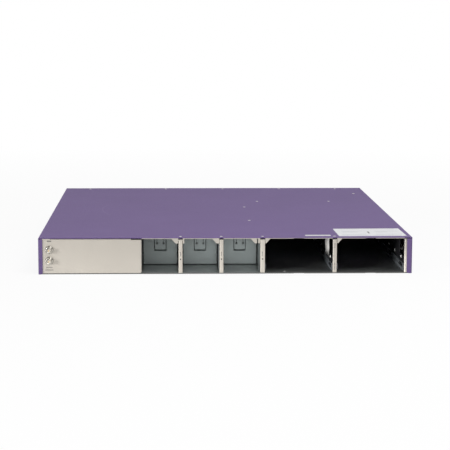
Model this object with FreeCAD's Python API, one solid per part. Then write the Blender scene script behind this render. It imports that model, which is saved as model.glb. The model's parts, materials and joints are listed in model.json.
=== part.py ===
import FreeCAD, Part
import math
import os
from FreeCAD import Vector

os.makedirs("parts", exist_ok=True)

# One-unit rack ethernet switch with empty fan and power supply bays.
# Millimetres. X runs to the right and Z up. The service side with the bays faces -Y, the ports face +Y.
# The origin lies on the floor plane, under the middle of the cover.

# Overall sizes
WIDTH = 441.0
DEPTH = 490.0
HEIGHT = 43.6

# Sheet metal
COVER_SHEET = 1.0
PANEL_SHEET = 1.0
TRAY_SHEET = 1.2
WALL_SHEET = 0.8
INSIDE_BEND = 0.6
NEST_GAP = 0.1
CUT_OVER = 1.0

# Cover: returns round the rear corners, lip over the front panel, dimples for the screws
LEFT_RETURN = 5.0
RIGHT_RETURN = 6.2
RETURN_RELIEF = 0.4
RETURN_CHAMFER = 1.5
RETURN_LAP = 6.0
FRONT_LIP = 3.4
LIP_RELIEF = 0.6
SEAT_DROP = 0.9
DIMPLE_TOP_RADIUS = 4.0
DIMPLE_FOOT_RADIUS = 2.5

# Cover screws and their places
SCREW_RADIUS = 1.0
SCREW_HEAD_RADIUS = 1.8
SCREW_LENGTH = 6.0
SCREW_CLEARANCE = 0.1
REAR_SCREW_INSET = 7.0
FRONT_SCREW_INSET = 12.0
FRONT_SCREW_RIGHT = 39.5
FRONT_SCREW_PITCH = 84.2
FRONT_SCREW_COUNT = 4
FRONT_SCREW_LEFT = 36.4

# Bays, counted from the right side of the service side
RIGHT_WALL_INSET = 9.3
PSU_BAY_WIDTH = 79.9
PSU_BAY_DEPTH = 325.0
PSU_POST_WIDTH = 5.2
BAY_POST_WIDTH = 5.9
FAN_BAY_WIDTH = 43.2
FAN_WALL_DEPTH = 75.0
FAN_POST_WIDTH = 5.0
POST_TAB_DEPTH = 14.0
POST_TAB_RISE = 2.2
POST_TAB_BEND = 1.2
LATCH_NOTCH_WIDTH = 12.0
FLOOR_NOTCH_DEPTH = 1.5
RAIL_NOTCH_DEPTH = 3.0

# Strip under the cover's rear edge and the gussets that hang from it
RAIL_SHEET = 0.8
RAIL_DEPTH = 14.0
DIMPLE_ROOM = 0.5
GUSSET_DROP = 5.5
GUSSET_SLOPE = 4.8
GUSSET_GAP = 0.2
FAN_GUSSET_REACH = 8.2
FAN_TAB_REACH = 2.0
BAY_GUSSET_REACH = 11.0
BAY_GUSSET_SLIT = 1.4
BAY_GUSSET_SLIT_INSET = 2.4
PSU_GUSSET_REACH = 6.0

# Blank plate with the coax jacks
PLATE_LEFT_DROP = 0.6
PLATE_RIGHT_DROP = 1.9
PLATE_FOLD_LEFT = 13.9
PLATE_FOLD_RIGHT = 12.6
PLATE_FOLD_DEPTH = 12.0
PLATE_FOLD_GAP = 0.4
PLATE_FOLD_RADIUS = 0.6
PLATE_CORNER_CUT = 1.5
COAX_INSET = 12.9
COAX_LOWER_Z = 16.2
COAX_PITCH = 12.9
COAX_TIP_RADIUS = 3.1
COAX_TIP_GAP = 0.5
COAX_BARREL_RADIUS = 3.3
COAX_REACH = 8.6
COAX_BORE_RADIUS = 2.35
COAX_BORE_DEPTH = 4.0
COAX_INSULATOR_RECESS = 1.0
COAX_CONTACT_RADIUS = 0.65
COAX_CLEARANCE = 0.1
COAX_COLLAR_RADIUS = 4.4
COAX_COLLAR_LENGTH = 2.0
COAX_WASHER_RADIUS = 5.0
COAX_WASHER_SHEET = 0.6
COAX_NUT_FLATS = 8.0
COAX_NUT_LENGTH = 2.2
TIMING_BOARD_INSET = 12.0
TIMING_BOARD_MARGIN = 7.0

# Shutters at the inner end of the fan bays
SHUTTER_DEPTH = 59.4
SHUTTER_SIDE_GAP = 1.3
SHUTTER_FLOOR_GAP = 0.8
SHUTTER_PIN_DROP = 2.8
PIN_RADIUS = 1.0
PIN_CLEARANCE = 0.05
KNUCKLE_MARGIN = 1.2
PAD_WIDTH = 15.0
PAD_BOTTOM_Z = 17.8
PAD_TOP_DROP = 2.6
PAD_RISE = 1.3
PAD_DRAFT = 1.0
PAD_FOOT_DRAFT = 2.4
PAD_CORNER = 1.6
PAD_WALL = 0.6
SLOT_OFFSET = 4.0
SLOT_WIDTH = 0.5
SLOT_END_RADIUS = 0.7
SLOT_BOTTOM_Z = 28.0
SLOT_TOP_MARGIN = 2.4

# Supply bay fittings
GUIDE_SHEET = 1.2
GUIDE_BOTTOM_Z = 5.0
GUIDE_TOP_Z = 11.4
GUIDE_START = 5.0
GUIDE_END_GAP = 40.0
GUIDE_SLOT_START = 7.0
GUIDE_SLOT_LENGTH = 32.0
GUIDE_SLOT_HEIGHT = 4.0
GUIDE_SLOT_PITCH = 88.0
GUIDE_SLOT_COUNT = 3
WALL_WINDOW_START = 5.0
WALL_WINDOW_END = 40.0
WALL_WINDOW_BOTTOM_Z = 19.2
WALL_WINDOW_TOP_DROP = 2.0
SPRING_START = 41.0
SPRING_LENGTH = 44.0
SPRING_RISE = 1.8
SPRING_SHEET = 0.4
SPRING_FOOT = 2.0
SPRING_BOTTOM_Z = 12.6
SPRING_TOP_DROP = 1.6
SPRING_NOTCH_WIDTH = 10.0
SPRING_NOTCH_RISE = 7.0
RIVET_RADIUS = 2.0
RIVET_RISE = 0.8
RIVET_Z = 16.4
RIVET_START = 25.0
RIVET_PITCH = 49.0
RIVET_COUNT = 3
FLOOR_RIVET_LEFT = 23.8
FLOOR_RIVET_INSET = 8.6
LAMP_RADIUS = 0.8
LAMP_LENGTH = 9.0
LAMP_CLEARANCE = 0.05
LAMP_Z = 17.4

# Side holes for rack brackets
RACK_HOLE_RADIUS = 2.1
RACK_FRONT_INSET = 34.0
RACK_FRONT_PITCH_Y = 32.0
RACK_FRONT_PITCH_Z = 22.0
RACK_FRONT_Z = 22.0
RACK_REAR_INSET = 73.0
RACK_REAR_PITCH = 30.0
RACK_REAR_Z = 20.0
RACK_KEY_INSET = 68.7
RACK_KEY_Z = 23.1
RACK_KEY_RADIUS = 1.3

# Wall at the front end of the supply bays, with the power backplane
PSU_FLANGE = 14.0
PSU_FLANGE_SCREW_INSET = 6.0
PSU_FIRST_SCREW = 9.4
PSU_SECOND_SCREW = 24.7
BACKPLANE_SHEET = 2.0
BACKPLANE_MARGIN = 4.0
BACKPLANE_BOTTOM_Z = 6.0
BACKPLANE_TOP_DROP = 4.0
PSU_CONNECTOR_WIDTH = 58.0
PSU_CONNECTOR_HEIGHT = 14.0
PSU_CONNECTOR_DEPTH = 18.0
PSU_CONNECTOR_Z = 18.0
PSU_CONNECTOR_CLEARANCE = 0.4
PSU_CONNECTOR_SLOT = 3.0
PSU_CONNECTOR_SLOT_DEPTH = 8.0
PSU_CONNECTOR_RIM = 3.0
BUSBAR_SHEET = 1.5
BUSBAR_WIDTH = 12.0
BUSBAR_SPACING = 40.0
BUSBAR_RISE = 18.0
BUSBAR_LAP = 12.0

# Angle and pillar that carry the middle cover screws
ANGLE_REACH = 17.0
ANGLE_DROP = 12.0
ANGLE_START = 95.0
ANGLE_LENGTH = 220.0
ANGLE_SCREW_INSET = 11.4
ANGLE_FIRST_SCREW = 141.6
ANGLE_SECOND_SCREW = 271.1
PILLAR_FLATS = 7.0
PILLAR_RIGHT = 18.9
PILLAR_FRONT = 71.8
PILLAR_ROOM = 0.6

# Main board and what stands on it
BOARD_SHEET = 1.6
STANDOFF_HEIGHT = 6.8
STANDOFF_FLATS = 6.0
PEG_WIDTH = 3.0
PEG_RISE = 1.2
PEG_CLEARANCE = 0.1
BOARD_SIDE_MARGIN = 7.5
BOARD_FRONT_GAP = 2.0
BOARD_REAR_INSET = 100.0
BOARD_PSU_GAP = 16.0
BOARD_STEP_GAP = 3.0
STANDOFF_MARGIN = 6.0
STANDOFF_FRONT_INSET = 18.0
STANDOFF_MIDDLE_INSET = 120.0
CHIP_SIZE = 45.0
CHIP_HEIGHT = 3.0
CHIP_LEFT_INSET = 180.5
CHIP_FRONT_INSET = 178.0
SINK_WIDTH = 92.0
SINK_LENGTH = 86.0
SINK_BASE = 5.0
SINK_HEIGHT = 24.0
SINK_FIN_SHEET = 1.4
SINK_FIN_COUNT = 17
CPU_SIZE = 30.0
CPU_HEIGHT = 2.5
CPU_LEFT_INSET = 70.5
CPU_FRONT_INSET = 300.0
CPU_SINK_WIDTH = 50.0
CPU_SINK_LENGTH = 54.0
CPU_SINK_HEIGHT = 18.0
CPU_SINK_FIN_COUNT = 11
MEMORY_WIDTH = 67.6
MEMORY_LENGTH = 30.0
MEMORY_SHEET = 1.2
MEMORY_LIFT = 3.0
MEMORY_SOCKET_DEPTH = 7.0
MEMORY_SOCKET_HEIGHT = 5.2
MEMORY_SLOT_DEPTH = 3.0
MEMORY_LEFT_INSET = 70.5
MEMORY_FRONT_INSET = 190.0
FAN_CONNECTOR_WIDTH = 22.0
FAN_CONNECTOR_DEPTH = 12.0
FAN_CONNECTOR_HEIGHT = 10.0
FAN_CONNECTOR_RIM = 1.2

# Port side
FRONT_TOP_FLANGE = 20.0
FRONT_BOTTOM_FLANGE = 12.0
PORT_ROOM = 0.3
CAGE_SHEET = 0.4
CAGE_DEPTH = 62.0
CAGE_CONNECTOR_DEPTH = 14.0
CAGE_NOSE_LENGTH = 6.0
CAGE_NOSE_MARGIN = 1.2
CAGE_NOSE_HEIGHT = 4.4
CAGE_NOSE_SLOT = 1.2
SEPARATOR_HEIGHT = 5.0
SFP_COLUMNS = 12
SFP_WIDTH = 13.9
SFP_HEIGHT = 8.95
SFP_RIGHT_INSET = 12.0
QSFP_COLUMNS = 1
QSFP_WIDTH = 18.7
QSFP_HEIGHT = 8.95
QSFP_GAP = 14.0
PIPE_WIDTH = 2.4
PIPE_HEIGHT = 1.4
PIPE_LENGTH = 10.0
PIPE_OFFSET = 3.4
PIPE_CLEARANCE = 0.05
JACK_LEFT_INSET = 30.0
JACK_WIDTH = 15.9
JACK_HEIGHT = 13.4
JACK_DEPTH = 21.3
JACK_MOUTH_WIDTH = 11.9
JACK_MOUTH_HEIGHT = 6.9
JACK_MOUTH_DEPTH = 13.0
JACK_MOUTH_RISE = 4.4
JACK_LATCH_WIDTH = 6.2
JACK_LATCH_HEIGHT = 1.5
JACK_KEY_WIDTH = 3.4
JACK_KEY_HEIGHT = 1.3
CONSOLE_GAP = 8.0
CONSOLE_WIDTH = 7.9
CONSOLE_HEIGHT = 3.1
CONSOLE_DEPTH = 6.0
CONSOLE_SLOPE = 1.0
CONSOLE_SHEET = 0.4
STATUS_GAP = 10.0
STATUS_PITCH = 6.0
STATUS_COUNT = 4
STATUS_LENGTH = 12.0
STATUS_Z = 30.0
VENT_SLOT_WIDTH = 3.0
VENT_PITCH = 6.4
VENT_BOTTOM_Z = 11.0
VENT_TOP_Z = 32.0
VENT_MARGIN = 14.0

# Planes and edges that several pieces share
X_LEFT = -WIDTH / 2
X_RIGHT = WIDTH / 2
Y_REAR = -DEPTH / 2
Y_FRONT = DEPTH / 2
REAR_FACE = Y_REAR + COVER_SHEET + NEST_GAP
FRONT_FACE = Y_FRONT - COVER_SHEET - NEST_GAP
FLOOR_TOP = TRAY_SHEET
COVER_UNDER = HEIGHT - COVER_SHEET
SEAT = COVER_UNDER - SEAT_DROP
TRAY_LEFT = X_LEFT + COVER_SHEET + NEST_GAP
TRAY_RIGHT = X_RIGHT - COVER_SHEET - NEST_GAP
INNER_LEFT = TRAY_LEFT + TRAY_SHEET + INSIDE_BEND + NEST_GAP
INNER_RIGHT = TRAY_RIGHT - TRAY_SHEET - INSIDE_BEND - NEST_GAP

PSU2_RIGHT = X_RIGHT - RIGHT_WALL_INSET
PSU2_LEFT = PSU2_RIGHT - PSU_BAY_WIDTH
PSU1_RIGHT = PSU2_LEFT - PSU_POST_WIDTH
PSU1_LEFT = PSU1_RIGHT - PSU_BAY_WIDTH
PSU_BAYS = ((PSU1_LEFT, PSU1_RIGHT), (PSU2_LEFT, PSU2_RIGHT))
FAN3_RIGHT = PSU1_LEFT - BAY_POST_WIDTH
FAN3_LEFT = FAN3_RIGHT - FAN_BAY_WIDTH
FAN2_RIGHT = FAN3_LEFT - FAN_POST_WIDTH
FAN2_LEFT = FAN2_RIGHT - FAN_BAY_WIDTH
FAN1_RIGHT = FAN2_LEFT - FAN_POST_WIDTH
FAN1_LEFT = FAN1_RIGHT - FAN_BAY_WIDTH
FAN_BAYS = ((FAN1_LEFT, FAN1_RIGHT), (FAN2_LEFT, FAN2_RIGHT), (FAN3_LEFT, FAN3_RIGHT))
FAN_POSTS = ((FAN1_RIGHT, FAN2_LEFT), (FAN2_RIGHT, FAN3_LEFT))
BAY_POST = (FAN3_RIGHT, PSU1_LEFT)
PSU_POST = (PSU1_RIGHT, PSU2_LEFT)
PSU_WALL_Y = Y_REAR + PSU_BAY_DEPTH

PIN_Y = Y_REAR + SHUTTER_DEPTH
PIN_Z = SEAT - SHUTTER_PIN_DROP
PIN_HOLE_RADIUS = PIN_RADIUS + PIN_CLEARANCE
SCREW_HOLE_RADIUS = SCREW_RADIUS + SCREW_CLEARANCE
HEAD_DEPTH = SCREW_HEAD_RADIUS - SCREW_RADIUS

COAX_X = X_LEFT + COAX_INSET
COAX_Z = (COAX_LOWER_Z, COAX_LOWER_Z + COAX_PITCH)

BOARD_BOTTOM = FLOOR_TOP + STANDOFF_HEIGHT
BOARD_TOP = BOARD_BOTTOM + BOARD_SHEET
BOARD_LEFT = X_LEFT + BOARD_SIDE_MARGIN
BOARD_RIGHT = X_RIGHT - BOARD_SIDE_MARGIN
BOARD_FRONT = FRONT_FACE - PANEL_SHEET - BOARD_FRONT_GAP
BOARD_REAR = Y_REAR + BOARD_REAR_INSET
BOARD_STEP_X = PSU1_LEFT - WALL_SHEET - BOARD_STEP_GAP
BOARD_STEP_Y = PSU_WALL_Y + BOARD_PSU_GAP
BACKPLANE_FRONT = PSU_WALL_Y + WALL_SHEET + BACKPLANE_SHEET

SFP_PITCH = SFP_WIDTH + CAGE_SHEET
SFP_RIGHT = X_RIGHT - SFP_RIGHT_INSET
SFP_LEFT = SFP_RIGHT - SFP_COLUMNS * SFP_PITCH - CAGE_SHEET
QSFP_RIGHT = SFP_LEFT - QSFP_GAP
QSFP_LEFT = QSFP_RIGHT - QSFP_COLUMNS * (QSFP_WIDTH + CAGE_SHEET) - CAGE_SHEET
JACK_X = X_LEFT + JACK_LEFT_INSET
CONSOLE_X = JACK_X + JACK_WIDTH / 2 + CONSOLE_GAP + CONSOLE_WIDTH / 2
STATUS_X = CONSOLE_X + CONSOLE_WIDTH / 2 + STATUS_GAP
VENT_LEFT = STATUS_X + (STATUS_COUNT - 1) * STATUS_PITCH + VENT_MARGIN
VENT_RIGHT = QSFP_LEFT - VENT_MARGIN

# Places of the cover screws
REAR_SCREWS = [((left + right) / 2, Y_REAR + REAR_SCREW_INSET)
               for left, right in FAN_POSTS + (BAY_POST, PSU_POST)]
FRONT_SCREWS = [(X_RIGHT - FRONT_SCREW_RIGHT - i * FRONT_SCREW_PITCH, Y_FRONT - FRONT_SCREW_INSET)
                for i in range(FRONT_SCREW_COUNT)]
FRONT_SCREWS.append((X_LEFT + FRONT_SCREW_LEFT, Y_FRONT - FRONT_SCREW_INSET))
ANGLE_SCREWS = [(PSU1_LEFT - ANGLE_SCREW_INSET, Y_REAR + ANGLE_FIRST_SCREW),
                (PSU1_LEFT - ANGLE_SCREW_INSET, Y_REAR + ANGLE_SECOND_SCREW)]
PSU_WALL_SCREWS = [(PSU1_LEFT + PSU_FIRST_SCREW, PSU_WALL_Y + PSU_FLANGE_SCREW_INSET),
                   (PSU2_LEFT + PSU_SECOND_SCREW, PSU_WALL_Y + PSU_FLANGE_SCREW_INSET)]
PILLAR = (X_RIGHT - PILLAR_RIGHT, Y_FRONT - PILLAR_FRONT)
MIDDLE_SCREWS = ANGLE_SCREWS + PSU_WALL_SCREWS + [PILLAR]

# Places of the board's standoffs
STANDOFFS = [(BOARD_LEFT + STANDOFF_MARGIN, BOARD_FRONT - STANDOFF_FRONT_INSET),
             (BOARD_LEFT + STANDOFF_MARGIN, BOARD_FRONT - STANDOFF_MIDDLE_INSET),
             (BOARD_LEFT + STANDOFF_MARGIN, BOARD_REAR + STANDOFF_MARGIN),
             (BOARD_STEP_X - STANDOFF_MARGIN, BOARD_REAR + STANDOFF_MARGIN),
             (BOARD_STEP_X - STANDOFF_MARGIN, BOARD_STEP_Y + STANDOFF_MARGIN),
             (BOARD_RIGHT - STANDOFF_MARGIN, BOARD_STEP_Y + STANDOFF_MARGIN)]


def block(x0, x1, y0, y1, z0, z1):
    """Box between two corners."""
    return Part.makeBox(x1 - x0, y1 - y0, z1 - z0, Vector(x0, y0, z0))


def rod(start, direction, radius, length):
    """Cylinder from a start point."""
    return Part.makeCylinder(radius, length, Vector(*start), Vector(*direction))


def prism(points, draw):
    """Flat polygon drawn out along a vector."""
    corners = [Vector(*p) for p in points]
    return Part.Face(Part.makePolygon(corners + corners[:1])).extrude(Vector(*draw))


def hexagon(x, y, z, flats, length, direction):
    """Hexagonal bar across flats, along Z or Y."""
    reach = flats / math.sqrt(3)
    turns = [math.radians(60 * i) for i in range(6)]
    if direction[2]:
        points = [(x + reach * math.cos(a), y + reach * math.sin(a), z) for a in turns]
    else:
        points = [(x + reach * math.cos(a), y, z + reach * math.sin(a)) for a in turns]
    return prism(points, [length * d for d in direction])


def folded_sheet(corners, sheet, draw, inside_bend=INSIDE_BEND):
    """Sheet folded through the corners of its mid-plane, with round bends, drawn out along a vector."""
    corners = [Vector(*c) for c in corners]
    draw = Vector(*draw)
    axis = Vector(draw).normalize()
    half = sheet / 2
    middle_radius = inside_bend + half
    runs = [(b - a).normalize() for a, b in zip(corners, corners[1:])]
    normals = [axis.cross(run) for run in runs]
    sides = []
    for offset in (half, -half):
        side = []
        start = corners[0] + normals[0] * offset
        for i in range(1, len(runs)):
            turn = runs[i - 1].getAngle(runs[i])
            sense = math.copysign(1, runs[i - 1].cross(runs[i]).dot(axis))
            tangent = middle_radius * math.tan(turn / 2)
            centre = corners[i] - runs[i - 1] * tangent + normals[i - 1] * (middle_radius * sense)
            reach = (middle_radius - offset * sense) * sense
            bisector = (normals[i - 1] + normals[i]).normalize()
            bend_start = centre - normals[i - 1] * reach
            bend_end = centre - normals[i] * reach
            side.append(Part.LineSegment(start, bend_start).toShape())
            side.append(Part.Arc(bend_start, centre - bisector * reach, bend_end).toShape())
            start = bend_end
        end = corners[-1] + normals[-1] * offset
        side.append(Part.LineSegment(start, end).toShape())
        sides.append((corners[0] + normals[0] * offset, side, end))
    first, second = sides
    outline = first[1] + [Part.LineSegment(first[2], second[2]).toShape()]
    outline += second[1][::-1] + [Part.LineSegment(second[0], first[0]).toShape()]
    wire = Part.Wire(Part.__sortEdges__(outline))
    return Part.Face(wire).extrude(draw)


def rounded_outline(x0, x1, z0, z1, radius, y):
    """Closed wire of a rounded rectangle that stands in the plane at y."""
    diagonal = radius * (1 - math.sqrt(0.5))
    places = [((x0 + radius, z0), (x1 - radius, z0), (x1 - diagonal, z0 + diagonal), (x1, z0 + radius)),
              ((x1, z0 + radius), (x1, z1 - radius), (x1 - diagonal, z1 - diagonal), (x1 - radius, z1)),
              ((x1 - radius, z1), (x0 + radius, z1), (x0 + diagonal, z1 - diagonal), (x0, z1 - radius)),
              ((x0, z1 - radius), (x0, z0 + radius), (x0 + diagonal, z0 + diagonal), (x0 + radius, z0))]
    edges = []
    for line_start, line_end, arc_middle, arc_end in places:
        a, b, c, d = [Vector(x, y, z) for x, z in (line_start, line_end, arc_middle, arc_end)]
        edges += [Part.LineSegment(a, b).toShape(), Part.Arc(b, c, d).toShape()]
    return Part.Wire(edges)


def vent_bar(x, y0, y1):
    """Long six-sided bar that cuts one air slot of the front panel."""
    reach = VENT_SLOT_WIDTH / 2
    points = [(x, VENT_BOTTOM_Z), (x + reach, VENT_BOTTOM_Z + reach), (x + reach, VENT_TOP_Z - reach),
              (x, VENT_TOP_Z), (x - reach, VENT_TOP_Z - reach), (x - reach, VENT_BOTTOM_Z + reach)]
    return prism([(px, y0, pz) for px, pz in points], (0, y1 - y0, 0))


def dome(place, direction, radius, rise):
    """Rivet head: a cap of a sphere on a flat face."""
    ball = (radius ** 2 + rise ** 2) / (2 * rise)
    axis = Vector(*direction)
    latitude = math.degrees(math.asin((ball - rise) / ball))
    return Part.makeSphere(ball, Vector(*place) - axis * (ball - rise), axis, latitude, 90, 360)


def cut_all(solid, tools):
    """Solid with every tool cut out of it."""
    return solid.cut(Part.makeCompound(tools)) if tools else solid


def rack_hole_places():
    """Centre, as Y and Z, and radius of each bracket hole in a side."""
    front_y = Y_FRONT - RACK_FRONT_INSET
    rear_y = Y_REAR + RACK_REAR_INSET
    places = [(front_y + sy * RACK_FRONT_PITCH_Y / 2, RACK_FRONT_Z + sz * RACK_FRONT_PITCH_Z / 2,
               RACK_HOLE_RADIUS) for sy in (-1, 1) for sz in (-1, 1)]
    places += [(rear_y + sy * RACK_REAR_PITCH / 2, RACK_REAR_Z, RACK_HOLE_RADIUS) for sy in (-1, 1)]
    return places + [(Y_REAR + RACK_KEY_INSET, RACK_KEY_Z, RACK_KEY_RADIUS)]


def rack_hole_tools():
    """Bars through both sides at the bracket holes."""
    reach = WIDTH + 2 * CUT_OVER
    return [rod((X_LEFT - CUT_OVER, y, z), (1, 0, 0), radius, reach) for y, z, radius in rack_hole_places()]


def seat_holes(places):
    """Bars that cut the screw holes in the tabs and flanges under the cover."""
    return [rod((x, y, SEAT - SCREW_LENGTH), (0, 0, 1), SCREW_HOLE_RADIUS, HEIGHT - SEAT + SCREW_LENGTH)
            for x, y in places]


def cover_return(side_x, inward, reach, height):
    """Side wall's rear end and its return, turned inward round the corner, with the low corner cut off."""
    half = COVER_SHEET / 2
    wall_x = side_x + inward * half
    corners = [(wall_x, Y_REAR + RETURN_LAP, 0), (wall_x, Y_REAR + half, 0),
               (side_x + inward * reach, Y_REAR + half, 0)]
    piece = folded_sheet(corners, COVER_SHEET, (0, 0, height))
    edge = side_x + inward * reach
    corner = prism([(edge - inward * RETURN_CHAMFER, Y_REAR - CUT_OVER, 0), (edge, Y_REAR - CUT_OVER, 0),
                    (edge, Y_REAR - CUT_OVER, RETURN_CHAMFER)], (0, COVER_SHEET + 2 * CUT_OVER, 0))
    return piece.cut(corner)


def top_cover():
    """Painted cover: top and sides in one folding, with rear returns, a front lip and screw dimples."""
    half = COVER_SHEET / 2
    corners = [(X_LEFT + half, Y_REAR, 0), (X_LEFT + half, Y_REAR, HEIGHT - half),
               (X_RIGHT - half, Y_REAR, HEIGHT - half), (X_RIGHT - half, Y_REAR, 0)]
    cover = folded_sheet(corners, COVER_SHEET, (0, DEPTH, 0))

    bend = INSIDE_BEND + COVER_SHEET
    return_top = HEIGHT - bend - RETURN_RELIEF
    rear_end = block(X_LEFT - CUT_OVER, X_RIGHT + CUT_OVER, Y_REAR - CUT_OVER, Y_REAR + RETURN_LAP, -CUT_OVER,
                     return_top)
    relief = block(X_LEFT - CUT_OVER, X_RIGHT + CUT_OVER, Y_REAR - CUT_OVER, Y_REAR + bend, -CUT_OVER,
                   return_top + RETURN_RELIEF)
    lip_left = X_LEFT + bend + LIP_RELIEF
    lip_right = X_RIGHT - bend - LIP_RELIEF
    front_edge = block(lip_left, lip_right, Y_FRONT - RETURN_LAP, Y_FRONT + CUT_OVER, COVER_UNDER - CUT_OVER,
                       HEIGHT + CUT_OVER)
    cover = cut_all(cover, [rear_end, relief, front_edge])
    lip_corners = [(lip_left, Y_FRONT - RETURN_LAP, HEIGHT - half), (lip_left, Y_FRONT - half, HEIGHT - half),
                   (lip_left, Y_FRONT - half, HEIGHT - FRONT_LIP)]
    lip = folded_sheet(lip_corners, COVER_SHEET, (lip_right - lip_left, 0, 0))
    left_return = cover_return(X_LEFT, 1, LEFT_RETURN, return_top)
    right_return = cover_return(X_RIGHT, -1, RIGHT_RETURN, return_top)

    screws = REAR_SCREWS + FRONT_SCREWS + MIDDLE_SCREWS
    dimples = [Part.makeCone(DIMPLE_FOOT_RADIUS, DIMPLE_TOP_RADIUS, SEAT_DROP, Vector(x, y, SEAT))
               for x, y in screws]
    cover = cover.multiFuse([lip, left_return, right_return] + dimples)
    sinks = [Part.makeCone(SCREW_HOLE_RADIUS, SCREW_HEAD_RADIUS + SCREW_CLEARANCE, HEAD_DEPTH,
                           Vector(x, y, HEIGHT - HEAD_DEPTH)) for x, y in screws]
    cover = cut_all(cover, sinks + seat_holes(screws) + rack_hole_tools())
    return cover.removeSplitter()


def chassis_tray():
    """Bare floor and side walls in one folding, notched at the rear edge of the supply bays."""
    half = TRAY_SHEET / 2
    corners = [(TRAY_LEFT + half, REAR_FACE, SEAT), (TRAY_LEFT + half, REAR_FACE, half),
               (TRAY_RIGHT - half, REAR_FACE, half), (TRAY_RIGHT - half, REAR_FACE, SEAT)]
    tray = folded_sheet(corners, TRAY_SHEET, (0, FRONT_FACE - REAR_FACE, 0))
    near = REAR_FACE - CUT_OVER
    notches = [block(left, left + INNER_LEFT - TRAY_LEFT, near, REAR_FACE + INSIDE_BEND, -CUT_OVER,
                     SEAT + CUT_OVER) for left in (TRAY_LEFT, INNER_RIGHT)]
    for left, right in PSU_BAYS:
        start = (left + right - LATCH_NOTCH_WIDTH) / 2
        notches.append(block(start, start + LATCH_NOTCH_WIDTH, near, REAR_FACE + FLOOR_NOTCH_DEPTH, -CUT_OVER,
                             TRAY_SHEET + CUT_OVER))
    return cut_all(tray, notches + rack_hole_tools())


def rear_blank_panel():
    """Plate left of the fan bays: its right side turns in as the first bay's wall, and its top folds in."""
    half = WALL_SHEET / 2
    face = REAR_FACE + half
    left_top = COVER_UNDER - PLATE_LEFT_DROP
    right_top = COVER_UNDER - PLATE_RIGHT_DROP
    wall_x = FAN1_LEFT - half
    corners = [(INNER_LEFT, face, FLOOR_TOP), (wall_x, face, FLOOR_TOP),
               (wall_x, REAR_FACE + FAN_WALL_DEPTH, FLOOR_TOP)]
    panel = folded_sheet(corners, WALL_SHEET, (0, 0, left_top - FLOOR_TOP))
    fold_left = X_LEFT + PLATE_FOLD_LEFT
    fold_right = FAN1_LEFT - PLATE_FOLD_RIGHT
    bend = PLATE_FOLD_RADIUS + WALL_SHEET
    clear = block(fold_left, fold_right, REAR_FACE - CUT_OVER, REAR_FACE + bend, FLOOR_TOP - CUT_OVER,
                  COVER_UNDER)
    low_end = block(fold_right, FAN1_LEFT + CUT_OVER, REAR_FACE - CUT_OVER,
                    REAR_FACE + FAN_WALL_DEPTH + CUT_OVER, right_top, COVER_UNDER)
    fold_top = COVER_UNDER - PLATE_FOLD_GAP - half
    folds = [(fold_left, face, FLOOR_TOP), (fold_left, face, fold_top),
             (fold_left, REAR_FACE + PLATE_FOLD_DEPTH, fold_top)]
    middle = folded_sheet(folds, WALL_SHEET, (fold_right - fold_left, 0, 0), PLATE_FOLD_RADIUS)
    panel = cut_all(panel, [clear, low_end]).fuse(middle)

    holes = [rod((COAX_X, REAR_FACE - CUT_OVER, z), (0, 1, 0), COAX_BARREL_RADIUS + COAX_CLEARANCE,
                 WALL_SHEET + 2 * CUT_OVER) for z in COAX_Z]
    pin_hole = rod((wall_x - CUT_OVER, PIN_Y, PIN_Z), (1, 0, 0), PIN_HOLE_RADIUS, 2 * CUT_OVER)
    corner = prism([(FAN1_LEFT - PLATE_CORNER_CUT, REAR_FACE - CUT_OVER, FLOOR_TOP),
                    (FAN1_LEFT, REAR_FACE - CUT_OVER, FLOOR_TOP),
                    (FAN1_LEFT, REAR_FACE - CUT_OVER, FLOOR_TOP + PLATE_CORNER_CUT)],
                   (0, CUT_OVER + bend, 0))
    return cut_all(panel, holes + [pin_hole, corner]).removeSplitter()


def channel_post(left, right, left_depth, right_depth):
    """Upright channel whose web faces the service side, with a top tab that takes a cover screw."""
    half = WALL_SHEET / 2
    face = REAR_FACE + half
    corners = [(left + half, REAR_FACE + left_depth, FLOOR_TOP), (left + half, face, FLOOR_TOP),
               (right - half, face, FLOOR_TOP), (right - half, REAR_FACE + right_depth, FLOOR_TOP)]
    post = folded_sheet(corners, WALL_SHEET, (0, 0, SEAT - FLOOR_TOP))
    tab_foot = SEAT - POST_TAB_RISE
    tab_end = REAR_FACE + POST_TAB_DEPTH
    tab_room = block(left - CUT_OVER, right + CUT_OVER, REAR_FACE - CUT_OVER, tab_end + NEST_GAP, tab_foot,
                     SEAT + CUT_OVER)
    tab_corners = [(left, face, tab_foot), (left, face, SEAT - half), (left, tab_end, SEAT - half)]
    tab = folded_sheet(tab_corners, WALL_SHEET, (right - left, 0, 0), POST_TAB_BEND)
    screw = ((left + right) / 2, Y_REAR + REAR_SCREW_INSET)
    return post.cut(tab_room).fuse(tab).cut(seat_holes([screw])[0]).removeSplitter()


def pin_hole_tool(left, right):
    """Bar through a post at the height of the shutters' hinge pins."""
    return rod((left - CUT_OVER, PIN_Y, PIN_Z), (1, 0, 0), PIN_HOLE_RADIUS, right - left + 2 * CUT_OVER)


def lamp_hole_tool(left, right):
    """Bar through a post's web for its lamp."""
    return rod(((left + right) / 2, REAR_FACE - CUT_OVER, LAMP_Z), (0, 1, 0), LAMP_RADIUS + LAMP_CLEARANCE,
               WALL_SHEET + 2 * CUT_OVER)


def fan_divider(left, right):
    """Post between two fan bays, drilled for both bays' hinge pins and for a lamp."""
    post = channel_post(left, right, FAN_WALL_DEPTH, FAN_WALL_DEPTH)
    return cut_all(post, [pin_hole_tool(left, right), lamp_hole_tool(left, right)])


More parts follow.
